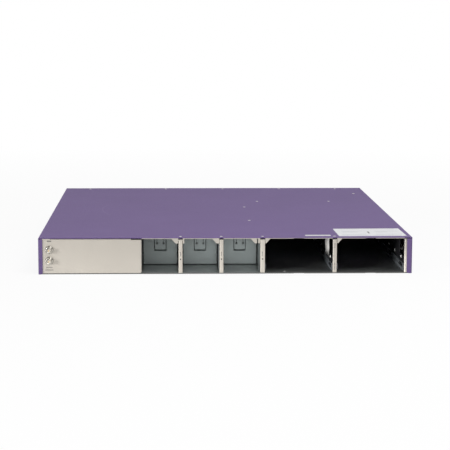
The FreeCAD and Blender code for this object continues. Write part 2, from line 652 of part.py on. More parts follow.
def bay_divider():
    """Post between the fan bays and the supply bays: one short leg, one leg as long as the supply bay."""
    left, right = BAY_POST
    post = channel_post(left, right, FAN_WALL_DEPTH, PSU_WALL_Y - NEST_GAP - REAR_FACE)
    pin_hole = rod((left - CUT_OVER, PIN_Y, PIN_Z), (1, 0, 0), PIN_HOLE_RADIUS, WALL_SHEET + 2 * CUT_OVER)
    return cut_all(post, [pin_hole, lamp_hole_tool(left, right)])


def wall_window(x):
    """Block that cuts the window out of the rear end of a supply bay's right wall."""
    return block(x - CUT_OVER, x + WALL_SHEET + CUT_OVER, Y_REAR + WALL_WINDOW_START,
                 Y_REAR + WALL_WINDOW_END, WALL_WINDOW_BOTTOM_Z, SEAT - WALL_WINDOW_TOP_DROP)


def psu_divider():
    """Post between the two supply bays, with the window in the first bay's right wall."""
    left, right = PSU_POST
    depth = PSU_WALL_Y - NEST_GAP - REAR_FACE
    return channel_post(left, right, depth, depth).cut(wall_window(left))


def psu_right_wall():
    """Right wall of the second supply bay, with a narrow strip turned out at the rear."""
    half = WALL_SHEET / 2
    wall_x = PSU2_RIGHT + half
    corners = [(wall_x, PSU_WALL_Y - NEST_GAP, FLOOR_TOP), (wall_x, REAR_FACE + half, FLOOR_TOP),
               (INNER_RIGHT, REAR_FACE + half, FLOOR_TOP)]
    wall = folded_sheet(corners, WALL_SHEET, (0, 0, SEAT - FLOOR_TOP))
    return wall.cut(wall_window(PSU2_RIGHT))


def psu_front_wall():
    """Wall at the inner end of the supply bays: foot, upright and a top flange with two screw holes."""
    half = WALL_SHEET / 2
    left = PSU1_LEFT - WALL_SHEET
    right = PSU2_RIGHT + WALL_SHEET
    far = PSU_WALL_Y + PSU_FLANGE
    corners = [(left, far, FLOOR_TOP + half), (left, PSU_WALL_Y + half, FLOOR_TOP + half),
               (left, PSU_WALL_Y + half, SEAT - half), (left, far, SEAT - half)]
    wall = folded_sheet(corners, WALL_SHEET, (right - left, 0, 0))
    reach = PSU_CONNECTOR_WIDTH / 2 + PSU_CONNECTOR_CLEARANCE
    rise = PSU_CONNECTOR_HEIGHT / 2 + PSU_CONNECTOR_CLEARANCE
    windows = []
    for bay_left, bay_right in PSU_BAYS:
        middle = (bay_left + bay_right) / 2
        windows.append(block(middle - reach, middle + reach, PSU_WALL_Y - CUT_OVER,
                             PSU_WALL_Y + WALL_SHEET + CUT_OVER, PSU_CONNECTOR_Z - rise,
                             PSU_CONNECTOR_Z + rise))
    return cut_all(wall, windows + seat_holes(PSU_WALL_SCREWS))


def gusset(root_x, outward, reach, slope):
    """Plate that hangs from the rail beside a post, with its free side cut on a slope."""
    start = root_x + outward * GUSSET_GAP
    free = root_x + outward * reach
    foot = SEAT - GUSSET_DROP
    top = SEAT + RAIL_SHEET
    points = [(start, top), (start, foot), (free - outward * slope, foot), (free, SEAT), (free, top)]
    return prism([(x, REAR_FACE, z) for x, z in points], (0, WALL_SHEET, 0))


def rear_top_rail():
    """Strip between the posts' tabs and the cover, notched round the dimples, with the corner gussets."""
    rail = block(FAN1_LEFT, PSU2_RIGHT, REAR_FACE, REAR_FACE + RAIL_DEPTH, SEAT, SEAT + RAIL_SHEET)
    gussets = [gusset(left, -1, FAN_GUSSET_REACH, GUSSET_SLOPE) for left, right in FAN_POSTS]
    gussets.append(gusset(FAN_POSTS[0][1], 1, FAN_TAB_REACH, 0))
    gussets.append(gusset(BAY_POST[0], -1, BAY_GUSSET_REACH, GUSSET_SLOPE))
    gussets += [gusset(post[1], 1, PSU_GUSSET_REACH, GUSSET_SLOPE) for post in (BAY_POST, PSU_POST)]
    rail = rail.multiFuse(gussets)

    room = DIMPLE_TOP_RADIUS + DIMPLE_ROOM
    tools = []
    for left, right in FAN_POSTS + (BAY_POST, PSU_POST):
        x = (left + right) / 2
        y = Y_REAR + REAR_SCREW_INSET
        tools.append(rod((x, y, SEAT - CUT_OVER), (0, 0, 1), room, RAIL_SHEET + 2 * CUT_OVER))
        tools.append(block(left, right, REAR_FACE - CUT_OVER, y, SEAT, SEAT + RAIL_SHEET + CUT_OVER))
    for left, right in PSU_BAYS:
        start = (left + right - LATCH_NOTCH_WIDTH) / 2
        tools.append(block(start, start + LATCH_NOTCH_WIDTH, REAR_FACE - CUT_OVER,
                           REAR_FACE + RAIL_NOTCH_DEPTH, SEAT - CUT_OVER, SEAT + RAIL_SHEET + CUT_OVER))
    slit = BAY_POST[0] - BAY_GUSSET_SLIT_INSET
    tools.append(block(slit - BAY_GUSSET_SLIT, slit, REAR_FACE - CUT_OVER, REAR_FACE + WALL_SHEET + CUT_OVER,
                       SEAT - GUSSET_DROP - CUT_OVER, SEAT))
    return cut_all(rail, tools).removeSplitter()


def pad_form(middle):
    """Raised pad of a shutter, tapered, with round corners."""
    x0 = middle - PAD_WIDTH / 2
    x1 = middle + PAD_WIDTH / 2
    z0 = PAD_BOTTOM_Z
    z1 = PIN_Z - PAD_TOP_DROP
    foot_y = PIN_Y - WALL_SHEET / 2
    foot = rounded_outline(x0, x1, z0, z1, PAD_CORNER, foot_y)
    face = rounded_outline(x0 + PAD_DRAFT, x1 - PAD_DRAFT, z0 + PAD_FOOT_DRAFT, z1 - PAD_DRAFT,
                           PAD_CORNER - PAD_DRAFT / 2, foot_y - PAD_RISE)
    return Part.makeLoft([foot, face], True, True)


def fan_shutter(left, right):
    """Flap that closes an empty fan bay: pressed pad with two slots, knuckles round the pin."""
    middle = (left + right) / 2
    x0 = left + SHUTTER_SIDE_GAP
    x1 = right - SHUTTER_SIDE_GAP
    half = WALL_SHEET / 2
    knuckle = PIN_HOLE_RADIUS + WALL_SHEET
    flap = block(x0, x1, PIN_Y - half, PIN_Y + half, FLOOR_TOP + SHUTTER_FLOOR_GAP,
                 PIN_Z - PIN_HOLE_RADIUS - half)
    inner = PAD_WIDTH / 2 + KNUCKLE_MARGIN
    knuckles = [rod((x0, PIN_Y, PIN_Z), (1, 0, 0), knuckle, middle - inner - x0),
                rod((middle + inner, PIN_Y, PIN_Z), (1, 0, 0), knuckle, x1 - middle - inner)]
    flap = flap.multiFuse(knuckles + [pad_form(middle)])
    tools = [rod((x0 - CUT_OVER, PIN_Y, PIN_Z), (1, 0, 0), PIN_HOLE_RADIUS, x1 - x0 + 2 * CUT_OVER)]
    hollow = PAD_DRAFT + PAD_WALL
    tools.append(block(middle - PAD_WIDTH / 2 + hollow, middle + PAD_WIDTH / 2 - hollow,
                       PIN_Y - half - PAD_RISE + PAD_WALL, PIN_Y + WALL_SHEET,
                       PAD_BOTTOM_Z + PAD_FOOT_DRAFT + PAD_WALL, PIN_Z - PAD_TOP_DROP - hollow))
    slot_top = PIN_Z - PAD_TOP_DROP - SLOT_TOP_MARGIN
    near = PIN_Y - PAD_RISE - WALL_SHEET
    far = PIN_Y + WALL_SHEET
    for side in (-1, 1):
        x = middle + side * SLOT_OFFSET
        tools.append(block(x - SLOT_WIDTH / 2, x + SLOT_WIDTH / 2, near, far, SLOT_BOTTOM_Z, slot_top))
        tools.append(rod((x, near, SLOT_BOTTOM_Z), (0, 1, 0), SLOT_END_RADIUS, far - near))
    return cut_all(flap, tools)


def shutter_pins():
    """One hinge pin across each fan bay, held in the walls at both sides."""
    return [rod((left - WALL_SHEET, PIN_Y, PIN_Z), (1, 0, 0), PIN_RADIUS, right - left + 2 * WALL_SHEET)
            for left, right in FAN_BAYS]


def psu_guide_rails():
    """Slotted guide strips on both walls of each supply bay."""
    rails = []
    start = Y_REAR + GUIDE_START
    end = PSU_WALL_Y - GUIDE_END_GAP
    middle_z = (GUIDE_BOTTOM_Z + GUIDE_TOP_Z) / 2
    for left, right in PSU_BAYS:
        for x in (left, right - GUIDE_SHEET):
            rail = block(x, x + GUIDE_SHEET, start, end, GUIDE_BOTTOM_Z, GUIDE_TOP_Z)
            slots = []
            for i in range(GUIDE_SLOT_COUNT):
                y = Y_REAR + GUIDE_SLOT_START + i * GUIDE_SLOT_PITCH
                slots.append(block(x - CUT_OVER, x + GUIDE_SHEET + CUT_OVER, y, y + GUIDE_SLOT_LENGTH,
                                   middle_z - GUIDE_SLOT_HEIGHT / 2, middle_z + GUIDE_SLOT_HEIGHT / 2))
            rails.append(cut_all(rail, slots))
    return rails


def psu_ground_springs():
    """Bowed leaf on each side of the post between the supply bays, just ahead of the window."""
    springs = []
    y0 = Y_REAR + SPRING_START
    y1 = y0 + SPRING_LENGTH
    middle = (y0 + y1) / 2
    low = SPRING_BOTTOM_Z
    top = SEAT - SPRING_TOP_DROP
    notch_y = (y0 + middle) / 2
    reach = SPRING_NOTCH_WIDTH / 2
    for wall_x, outward in ((PSU_POST[0], -1), (PSU_POST[1], 1)):
        ends = [Vector(wall_x, y, low) for y in (y0, y1, y0 + SPRING_FOOT, y1 - SPRING_FOOT)]
        crown = Vector(wall_x + outward * SPRING_RISE, middle, low)
        hollow = Vector(wall_x + outward * (SPRING_RISE - SPRING_SHEET), middle, low)
        outline = [Part.Arc(ends[0], crown, ends[1]).toShape(), Part.LineSegment(ends[1], ends[3]).toShape(),
                   Part.Arc(ends[3], hollow, ends[2]).toShape(), Part.LineSegment(ends[2], ends[0]).toShape()]
        leaf = Part.Face(Part.Wire(outline)).extrude(Vector(0, 0, top - low))
        near = wall_x - outward * CUT_OVER
        notch = prism([(near, notch_y - reach, low), (near, notch_y + reach, low),
                       (near, notch_y, low + SPRING_NOTCH_RISE)],
                      (outward * (SPRING_RISE + 2 * CUT_OVER), 0, 0))
        springs.append(leaf.cut(notch))
    return springs


def bay_rivets():
    """Rivet heads on the supply bays' right walls, clear of the spring, and on the first bay's floor."""
    rows = ((PSU_POST[0], range(0, RIVET_COUNT, 2)), (PSU2_RIGHT, range(RIVET_COUNT)))
    places = [(x, Y_REAR + RIVET_START + i * RIVET_PITCH, RIVET_Z) for x, steps in rows for i in steps]
    rivets = [dome(place, (-1, 0, 0), RIVET_RADIUS, RIVET_RISE) for place in places]
    floor_place = (PSU1_LEFT + FLOOR_RIVET_LEFT, Y_REAR + FLOOR_RIVET_INSET, FLOOR_TOP)
    return rivets + [dome(floor_place, (0, 0, 1), RIVET_RADIUS, RIVET_RISE)]


def post_lamps():
    """Light pipe through the web of each of the first three posts."""
    return [rod(((left + right) / 2, REAR_FACE, LAMP_Z), (0, 1, 0), LAMP_RADIUS, LAMP_LENGTH)
            for left, right in FAN_POSTS + (BAY_POST,)]


def coax_jack(z):
    """Jack through the blank plate: plug end, thicker barrel for the nut, collar, and contact bore."""
    tip = REAR_FACE - COAX_REACH
    barrel = REAR_FACE - COAX_WASHER_SHEET - COAX_NUT_LENGTH - COAX_TIP_GAP
    collar = REAR_FACE + WALL_SHEET
    back = REAR_FACE + TIMING_BOARD_INSET
    plug_end = rod((COAX_X, tip, z), (0, 1, 0), COAX_TIP_RADIUS, barrel - tip)
    body = plug_end.fuse(rod((COAX_X, barrel, z), (0, 1, 0), COAX_BARREL_RADIUS, back - barrel))
    body = body.fuse(rod((COAX_X, collar, z), (0, 1, 0), COAX_COLLAR_RADIUS, COAX_COLLAR_LENGTH))
    return body.cut(rod((COAX_X, tip, z), (0, 1, 0), COAX_BORE_RADIUS, COAX_BORE_DEPTH))


def coax_insulators():
    """White ring in the bore of each jack."""
    start = REAR_FACE - COAX_REACH + COAX_INSULATOR_RECESS
    length = COAX_BORE_DEPTH - COAX_INSULATOR_RECESS
    rings = []
    for z in COAX_Z:
        ring = rod((COAX_X, start, z), (0, 1, 0), COAX_BORE_RADIUS, length)
        rings.append(ring.cut(rod((COAX_X, start, z), (0, 1, 0), COAX_CONTACT_RADIUS, length)))
    return rings


def coax_contacts():
    """Centre contact of each jack, standing on the bottom of the bore."""
    start = REAR_FACE - COAX_REACH + COAX_INSULATOR_RECESS / 2
    length = COAX_BORE_DEPTH - COAX_INSULATOR_RECESS / 2
    return [rod((COAX_X, start, z), (0, 1, 0), COAX_CONTACT_RADIUS, length) for z in COAX_Z]


def coax_washers():
    """Washer on the outer face of the plate, round each jack."""
    start = REAR_FACE - COAX_WASHER_SHEET
    hole = COAX_BARREL_RADIUS + COAX_CLEARANCE
    washers = []
    for z in COAX_Z:
        disc = rod((COAX_X, start, z), (0, 1, 0), COAX_WASHER_RADIUS, COAX_WASHER_SHEET)
        washers.append(disc.cut(rod((COAX_X, start, z), (0, 1, 0), hole, COAX_WASHER_SHEET)))
    return washers


def coax_nuts():
    """Hexagon nut on each washer."""
    start = REAR_FACE - COAX_WASHER_SHEET - COAX_NUT_LENGTH
    hole = COAX_BARREL_RADIUS + COAX_CLEARANCE
    nuts = []
    for z in COAX_Z:
        nut = hexagon(COAX_X, start, z, COAX_NUT_FLATS, COAX_NUT_LENGTH, (0, 1, 0))
        nuts.append(nut.cut(rod((COAX_X, start, z), (0, 1, 0), hole, COAX_NUT_LENGTH)))
    return nuts


def timing_board():
    """Small upright board on the back ends of the two jacks."""
    y = REAR_FACE + TIMING_BOARD_INSET
    margin = TIMING_BOARD_MARGIN
    return block(COAX_X - margin, COAX_X + margin, y, y + BOARD_SHEET, COAX_Z[0] - margin, COAX_Z[1] + margin)


def cover_screws(places):
    """Flush countersunk screws."""
    screws = []
    for x, y in places:
        head = Part.makeCone(SCREW_RADIUS, SCREW_HEAD_RADIUS, HEAD_DEPTH, Vector(x, y, HEIGHT - HEAD_DEPTH))
        shank = rod((x, y, HEIGHT - SCREW_LENGTH), (0, 0, 1), SCREW_RADIUS, SCREW_LENGTH - HEAD_DEPTH)
        screws.append(head.fuse(shank).removeSplitter())
    return screws


def cover_support_angle():
    """Angle on the outside of the supply bays' left wall, with the holes for two cover screws."""
    half = WALL_SHEET / 2
    wall_x = PSU1_LEFT - WALL_SHEET - half
    start = Y_REAR + ANGLE_START
    corners = [(wall_x, start, SEAT - ANGLE_DROP), (wall_x, start, SEAT - half),
               (PSU1_LEFT - ANGLE_REACH, start, SEAT - half)]
    angle = folded_sheet(corners, WALL_SHEET, (0, ANGLE_LENGTH, 0))
    return cut_all(angle, seat_holes(ANGLE_SCREWS))


def cover_pillar():
    """Hexagon pillar from the floor to the cover, tapped at the top."""
    x, y = PILLAR
    pillar = hexagon(x, y, FLOOR_TOP, PILLAR_FLATS, SEAT - FLOOR_TOP, (0, 0, 1))
    return pillar.cut(seat_holes([PILLAR])[0])


def main_board():
    """Board that fills the front and the left of the tray, stepped round the supply bays."""
    outline = [(BOARD_LEFT, BOARD_REAR), (BOARD_STEP_X, BOARD_REAR), (BOARD_STEP_X, BOARD_STEP_Y),
               (BOARD_RIGHT, BOARD_STEP_Y), (BOARD_RIGHT, BOARD_FRONT), (BOARD_LEFT, BOARD_FRONT)]
    board = prism([(x, y, BOARD_BOTTOM) for x, y in outline], (0, 0, BOARD_SHEET))
    reach = PEG_WIDTH / 2 + PEG_CLEARANCE
    holes = [block(x - reach, x + reach, y - reach, y + reach, BOARD_BOTTOM, BOARD_TOP) for x, y in STANDOFFS]
    pillar_room = PILLAR_FLATS / math.sqrt(3) + PILLAR_ROOM
    holes.append(rod((PILLAR[0], PILLAR[1], BOARD_BOTTOM), (0, 0, 1), pillar_room, BOARD_SHEET))
    return cut_all(board, holes)


def board_standoffs():
    """Hexagon posts from the floor to the board, each with a square peg through the board."""
    posts = []
    reach = PEG_WIDTH / 2
    for x, y in STANDOFFS:
        post = hexagon(x, y, FLOOR_TOP, STANDOFF_FLATS, STANDOFF_HEIGHT, (0, 0, 1))
        peg = block(x - reach, x + reach, y - reach, y + reach, BOARD_BOTTOM, BOARD_TOP + PEG_RISE)
        posts.append(post.fuse(peg))
    return posts


def chip(x, y, size, height):
    """Flat square package on the board."""
    return block(x - size / 2, x + size / 2, y - size / 2, y + size / 2, BOARD_TOP, BOARD_TOP + height)


def finned_sink(x, y, bottom, width, length, height, count):
    """Heat sink whose fins run along the air stream."""
    sink = block(x - width / 2, x + width / 2, y - length / 2, y + length / 2, bottom, bottom + height)
    pitch = (width - SINK_FIN_SHEET) / (count - 1)
    reach = length / 2 + CUT_OVER
    gaps = []
    for i in range(count - 1):
        left = x - width / 2 + SINK_FIN_SHEET + i * pitch
        gaps.append(block(left, left + pitch - SINK_FIN_SHEET, y - reach, y + reach, bottom + SINK_BASE,
                          bottom + height + CUT_OVER))
    return cut_all(sink, gaps)


def memory_parts():
    """Edge socket on the board, and the module that lies in its slot."""
    y = Y_FRONT - MEMORY_FRONT_INSET
    x0 = X_LEFT + MEMORY_LEFT_INSET - MEMORY_WIDTH / 2
    x1 = x0 + MEMORY_WIDTH
    lift = BOARD_TOP + MEMORY_LIFT
    socket = block(x0, x1, y, y + MEMORY_SOCKET_DEPTH, BOARD_TOP, BOARD_TOP + MEMORY_SOCKET_HEIGHT)
    seat = y + MEMORY_SLOT_DEPTH
    slot = block(x0 - CUT_OVER, x1 + CUT_OVER, y - CUT_OVER, seat, lift - NEST_GAP,
                 lift + MEMORY_SHEET + NEST_GAP)
    module = block(x0, x1, seat - MEMORY_LENGTH, seat, lift, lift + MEMORY_SHEET)
    return socket.cut(slot), module


def fan_connectors():
    """Open-fronted sockets on the board's rear edge, one behind each fan bay."""
    sockets = []
    rim = FAN_CONNECTOR_RIM
    for left, right in FAN_BAYS:
        x0 = (left + right) / 2 - FAN_CONNECTOR_WIDTH / 2
        x1 = (left + right) / 2 + FAN_CONNECTOR_WIDTH / 2
        top = BOARD_TOP + FAN_CONNECTOR_HEIGHT
        socket = block(x0, x1, BOARD_REAR, BOARD_REAR + FAN_CONNECTOR_DEPTH, BOARD_TOP, top)
        mouth = block(x0 + rim, x1 - rim, BOARD_REAR - CUT_OVER, BOARD_REAR + FAN_CONNECTOR_DEPTH - rim,
                      BOARD_TOP + rim, top - rim)
        sockets.append(socket.cut(mouth))
    return sockets


def psu_backplane():
    """Power board against the front of the supply bays' end wall."""
    y = PSU_WALL_Y + WALL_SHEET
    return block(PSU1_LEFT + BACKPLANE_MARGIN, PSU2_RIGHT - BACKPLANE_MARGIN, y, y + BACKPLANE_SHEET,
                 BACKPLANE_BOTTOM_Z, SEAT - BACKPLANE_TOP_DROP)


def psu_connectors():
    """Card edge sockets that reach through the end wall into the supply bays."""
    sockets = []
    back = PSU_WALL_Y + WALL_SHEET
    front = back - PSU_CONNECTOR_DEPTH
    for left, right in PSU_BAYS:
        middle = (left + right) / 2
        x0 = middle - PSU_CONNECTOR_WIDTH / 2
        x1 = middle + PSU_CONNECTOR_WIDTH / 2
        socket = block(x0, x1, front, back, PSU_CONNECTOR_Z - PSU_CONNECTOR_HEIGHT / 2,
                       PSU_CONNECTOR_Z + PSU_CONNECTOR_HEIGHT / 2)
        slot = block(x0 + PSU_CONNECTOR_RIM, x1 - PSU_CONNECTOR_RIM, front - CUT_OVER,
                     front + PSU_CONNECTOR_SLOT_DEPTH, PSU_CONNECTOR_Z - PSU_CONNECTOR_SLOT / 2,
                     PSU_CONNECTOR_Z + PSU_CONNECTOR_SLOT / 2)
        sockets.append(socket.cut(slot))
    return sockets


def power_busbars():
    """Two bent bars from the backplane down to the main board."""
    half = BUSBAR_SHEET / 2
    bars = []
    for side in (-1, 1):
        x = (PSU1_LEFT + PSU2_RIGHT) / 2 + side * BUSBAR_SPACING / 2 - BUSBAR_WIDTH / 2
        y = BACKPLANE_FRONT + half
        corners = [(x, y, BOARD_TOP + BUSBAR_RISE), (x, y, BOARD_TOP + half),
                   (x, BOARD_STEP_Y + BUSBAR_LAP, BOARD_TOP + half)]
        bars.append(folded_sheet(corners, BUSBAR_SHEET, (BUSBAR_WIDTH, 0, 0)))
    return bars


def lamp_bar(x, z, room, y0, y1):
    """Flat light pipe along Y, or the window that it fills."""
    reach = PIPE_WIDTH / 2 + room
    rise = PIPE_HEIGHT / 2 + room
    return block(x - reach, x + reach, y0, y1, z - rise, z + rise)


class StackedCage:
    """Two rows of module ports in one folded cage that stands on the board's front edge."""

    def __init__(self, left, columns, port_width, port_height):
        self.left = left
        self.columns = columns
        self.port_width = port_width
        self.port_height = port_height
        self.pitch = port_width + CAGE_SHEET
        self.right = left + columns * self.pitch + CAGE_SHEET
        self.front = Y_FRONT
        self.back = Y_FRONT - CAGE_DEPTH
        self.floor = BOARD_TOP + CAGE_SHEET
        self.roof = self.floor + 2 * port_height + SEPARATOR_HEIGHT
        self.top = self.roof + CAGE_SHEET
        self.connector_face = self.back + CAGE_SHEET + CAGE_CONNECTOR_DEPTH

    def column(self, i):
        """Left and right of the ports in one column."""
        x = self.left + CAGE_SHEET + i * self.pitch
        return x, x + self.port_width

    def shell(self):
        outer = block(self.left, self.right, self.back, self.front, self.floor, self.top)
        inner = block(self.left + CAGE_SHEET, self.right - CAGE_SHEET, self.back + CAGE_SHEET,
                      self.front + CUT_OVER, self.floor - CUT_OVER, self.roof)
        return outer.cut(inner)

    def floor_plate(self):
        return block(self.left, self.right, self.back, self.front, BOARD_TOP, self.floor)

    def dividers(self):
        return [block(self.column(i)[1], self.column(i)[1] + CAGE_SHEET, self.back + CAGE_SHEET, self.front,
                      self.floor, self.roof) for i in range(self.columns - 1)]

    def pipe_places(self):
        """Centres of the light pipes, two in each separator's nose."""
        z = self.floor + self.port_height + SEPARATOR_HEIGHT / 2
        middles = [sum(self.column(i)) / 2 for i in range(self.columns)]
        return [(x + side * PIPE_OFFSET, z) for x in middles for side in (-1, 1)]

    def separators(self):
        """Channels between the two rows, closed at the front, with two lamp windows in the nose."""
        low = self.floor + self.port_height
        high = low + SEPARATOR_HEIGHT
        windows = [lamp_bar(x, z, PIPE_CLEARANCE, self.front - CUT_OVER, self.front + CUT_OVER)
                   for x, z in self.pipe_places()]
        pieces = []
        for i in range(self.columns):
            x0, x1 = self.column(i)
            piece = block(x0, x1, self.connector_face, self.front, low, high)
            hollow = block(x0 - CUT_OVER, x1 + CUT_OVER, self.connector_face - CUT_OVER,
                           self.front - CAGE_SHEET, low + CAGE_SHEET, high - CAGE_SHEET)
            pieces.append(cut_all(piece, [hollow] + windows[2 * i:2 * i + 2]))
        return pieces

    def pipes(self):
        return [lamp_bar(x, z, 0, self.front - PIPE_LENGTH, self.front) for x, z in self.pipe_places()]

    def connectors(self):
        """Moulded blocks at the back of each column, with a slotted nose for each port."""
        pieces = []
        for i in range(self.columns):
            x0, x1 = self.column(i)
            piece = block(x0, x1, self.back + CAGE_SHEET, self.connector_face, self.floor, self.roof)
            for row in (0, 1):
                z = self.floor + self.port_height / 2 + row * (self.port_height + SEPARATOR_HEIGHT)
                tip = self.connector_face + CAGE_NOSE_LENGTH
                nose = block(x0 + CAGE_NOSE_MARGIN, x1 - CAGE_NOSE_MARGIN, self.connector_face, tip,
                             z - CAGE_NOSE_HEIGHT / 2, z + CAGE_NOSE_HEIGHT / 2)
                slot = block(x0 + 2 * CAGE_NOSE_MARGIN, x1 - 2 * CAGE_NOSE_MARGIN, self.connector_face,
                             tip + CUT_OVER, z - CAGE_NOSE_SLOT / 2, z + CAGE_NOSE_SLOT / 2)
                piece = piece.fuse(nose.cut(slot))
            pieces.append(piece)
        return pieces


SFP = StackedCage(SFP_LEFT, SFP_COLUMNS, SFP_WIDTH, SFP_HEIGHT)
QSFP = StackedCage(QSFP_LEFT, QSFP_COLUMNS, QSFP_WIDTH, QSFP_HEIGHT)
PORT_LOW = BOARD_TOP - PORT_ROOM
PORT_HIGH = max(SFP.top, QSFP.top) + PORT_ROOM


def management_jack():
    """Shielded eight-way jack on the board, with a stepped mouth for the plug's latch."""
    x0 = JACK_X - JACK_WIDTH / 2
    top = BOARD_TOP + JACK_HEIGHT
    jack = block(x0, x0 + JACK_WIDTH, Y_FRONT - JACK_DEPTH, Y_FRONT, BOARD_TOP, top)
    low = BOARD_TOP + JACK_MOUTH_RISE
    latch = low - JACK_LATCH_HEIGHT
    steps = ((JACK_MOUTH_WIDTH, low, low + JACK_MOUTH_HEIGHT), (JACK_LATCH_WIDTH, latch, low),
             (JACK_KEY_WIDTH, latch - JACK_KEY_HEIGHT, latch))
    tools = [block(JACK_X - width / 2, JACK_X + width / 2, Y_FRONT - JACK_MOUTH_DEPTH, Y_FRONT + CUT_OVER,
                   z0, z1) for width, z0, z1 in steps]
    return cut_all(jack, tools)


def console_port():
    """Small serial socket: a thin shell with its lower corners cut off."""
    sheet = CONSOLE_SHEET
    x0 = CONSOLE_X - CONSOLE_WIDTH / 2
    x1 = CONSOLE_X + CONSOLE_WIDTH / 2
    back = Y_FRONT - CONSOLE_DEPTH

    def form(inset, y, length):
        low = BOARD_TOP + inset
        high = BOARD_TOP + CONSOLE_HEIGHT - inset
        slope = low + CONSOLE_SLOPE
        points = [(x0 + CONSOLE_SLOPE, low), (x1 - CONSOLE_SLOPE, low), (x1 - inset, slope),
                  (x1 - inset, high), (x0 + inset, high), (x0 + inset, slope)]
        return prism([(x, y, z) for x, z in points], (0, length, 0))

    return form(0, back, CONSOLE_DEPTH).cut(form(sheet, back + sheet, CONSOLE_DEPTH))


def status_places():
    """Centres of the status lamps in the front panel."""
    return [STATUS_X + i * STATUS_PITCH for i in range(STATUS_COUNT)]


def status_light_pipes():
    """Light pipes of the status lamps, flush with the front panel."""
    return [lamp_bar(x, STATUS_Z, 0, FRONT_FACE - STATUS_LENGTH, FRONT_FACE) for x in status_places()]


def front_rail(edge_z, bend_z, flange):
    """Painted strip across the port side, from an edge at the ports to a bend and an inward flange."""
    face = FRONT_FACE - PANEL_SHEET / 2
    corners = [(INNER_LEFT, face, edge_z), (INNER_LEFT, face, bend_z),
               (INNER_LEFT, FRONT_FACE - flange, bend_z)]
    return folded_sheet(corners, PANEL_SHEET, (INNER_RIGHT - INNER_LEFT, 0, 0))


def front_foot_rail():
    """Strip under the ports, folded back along the floor."""
    return front_rail(PORT_LOW, FLOOR_TOP + PANEL_SHEET / 2, FRONT_BOTTOM_FLANGE)


def front_top_rail():
    """Strip over the ports, folded back under the cover, with the holes for its front screws."""
    rail = front_rail(PORT_HIGH, SEAT - PANEL_SHEET / 2, FRONT_TOP_FLANGE)
    return cut_all(rail, seat_holes(FRONT_SCREWS))


def port_plate(x0, x1):
    """Painted plate that fills the port side from rail to rail."""
    return block(x0, x1, FRONT_FACE - PANEL_SHEET, FRONT_FACE, PORT_LOW, PORT_HIGH)


def port_window(x, width, height):
    """Block that cuts room for a socket on the board's front edge."""
    reach = width / 2 + PORT_ROOM
    return block(x - reach, x + reach, FRONT_FACE - PANEL_SHEET - CUT_OVER, FRONT_FACE + CUT_OVER,
                 PORT_LOW - CUT_OVER, BOARD_TOP + height + PORT_ROOM)


def front_panel():
    """Plate between the jack and the first cage, with status lamps and a row of upright air slots."""
    panel = port_plate(JACK_X + JACK_WIDTH / 2 + PORT_ROOM, QSFP.left - PORT_ROOM)
    near = FRONT_FACE - PANEL_SHEET - CUT_OVER
    far = FRONT_FACE + CUT_OVER
    tools = [port_window(CONSOLE_X, CONSOLE_WIDTH, CONSOLE_HEIGHT)]
    tools += [lamp_bar(x, STATUS_Z, PIPE_CLEARANCE, near, far) for x in status_places()]
    count = int((VENT_RIGHT - VENT_LEFT) / VENT_PITCH)
    tools += [vent_bar(VENT_LEFT + (i + 0.5) * VENT_PITCH, near, far) for i in range(count)]
    return cut_all(panel, tools)


def front_posts():
    """Plates round the jack, between the two cages and at the right end."""
    jack_plate = port_plate(INNER_LEFT, JACK_X + JACK_WIDTH / 2 + PORT_ROOM)
    return [jack_plate.cut(port_window(JACK_X, JACK_WIDTH, JACK_HEIGHT)),
            port_plate(QSFP.right + PORT_ROOM, SFP.left - PORT_ROOM),
            port_plate(SFP.right + PORT_ROOM, INNER_RIGHT)]


MEMORY_SOCKET, MEMORY_MODULE = memory_parts()
CHIP_X = X_LEFT + CHIP_LEFT_INSET
CHIP_Y = Y_FRONT - CHIP_FRONT_INSET
CPU_X = X_LEFT + CPU_LEFT_INSET
CPU_Y = Y_FRONT - CPU_FRONT_INSET

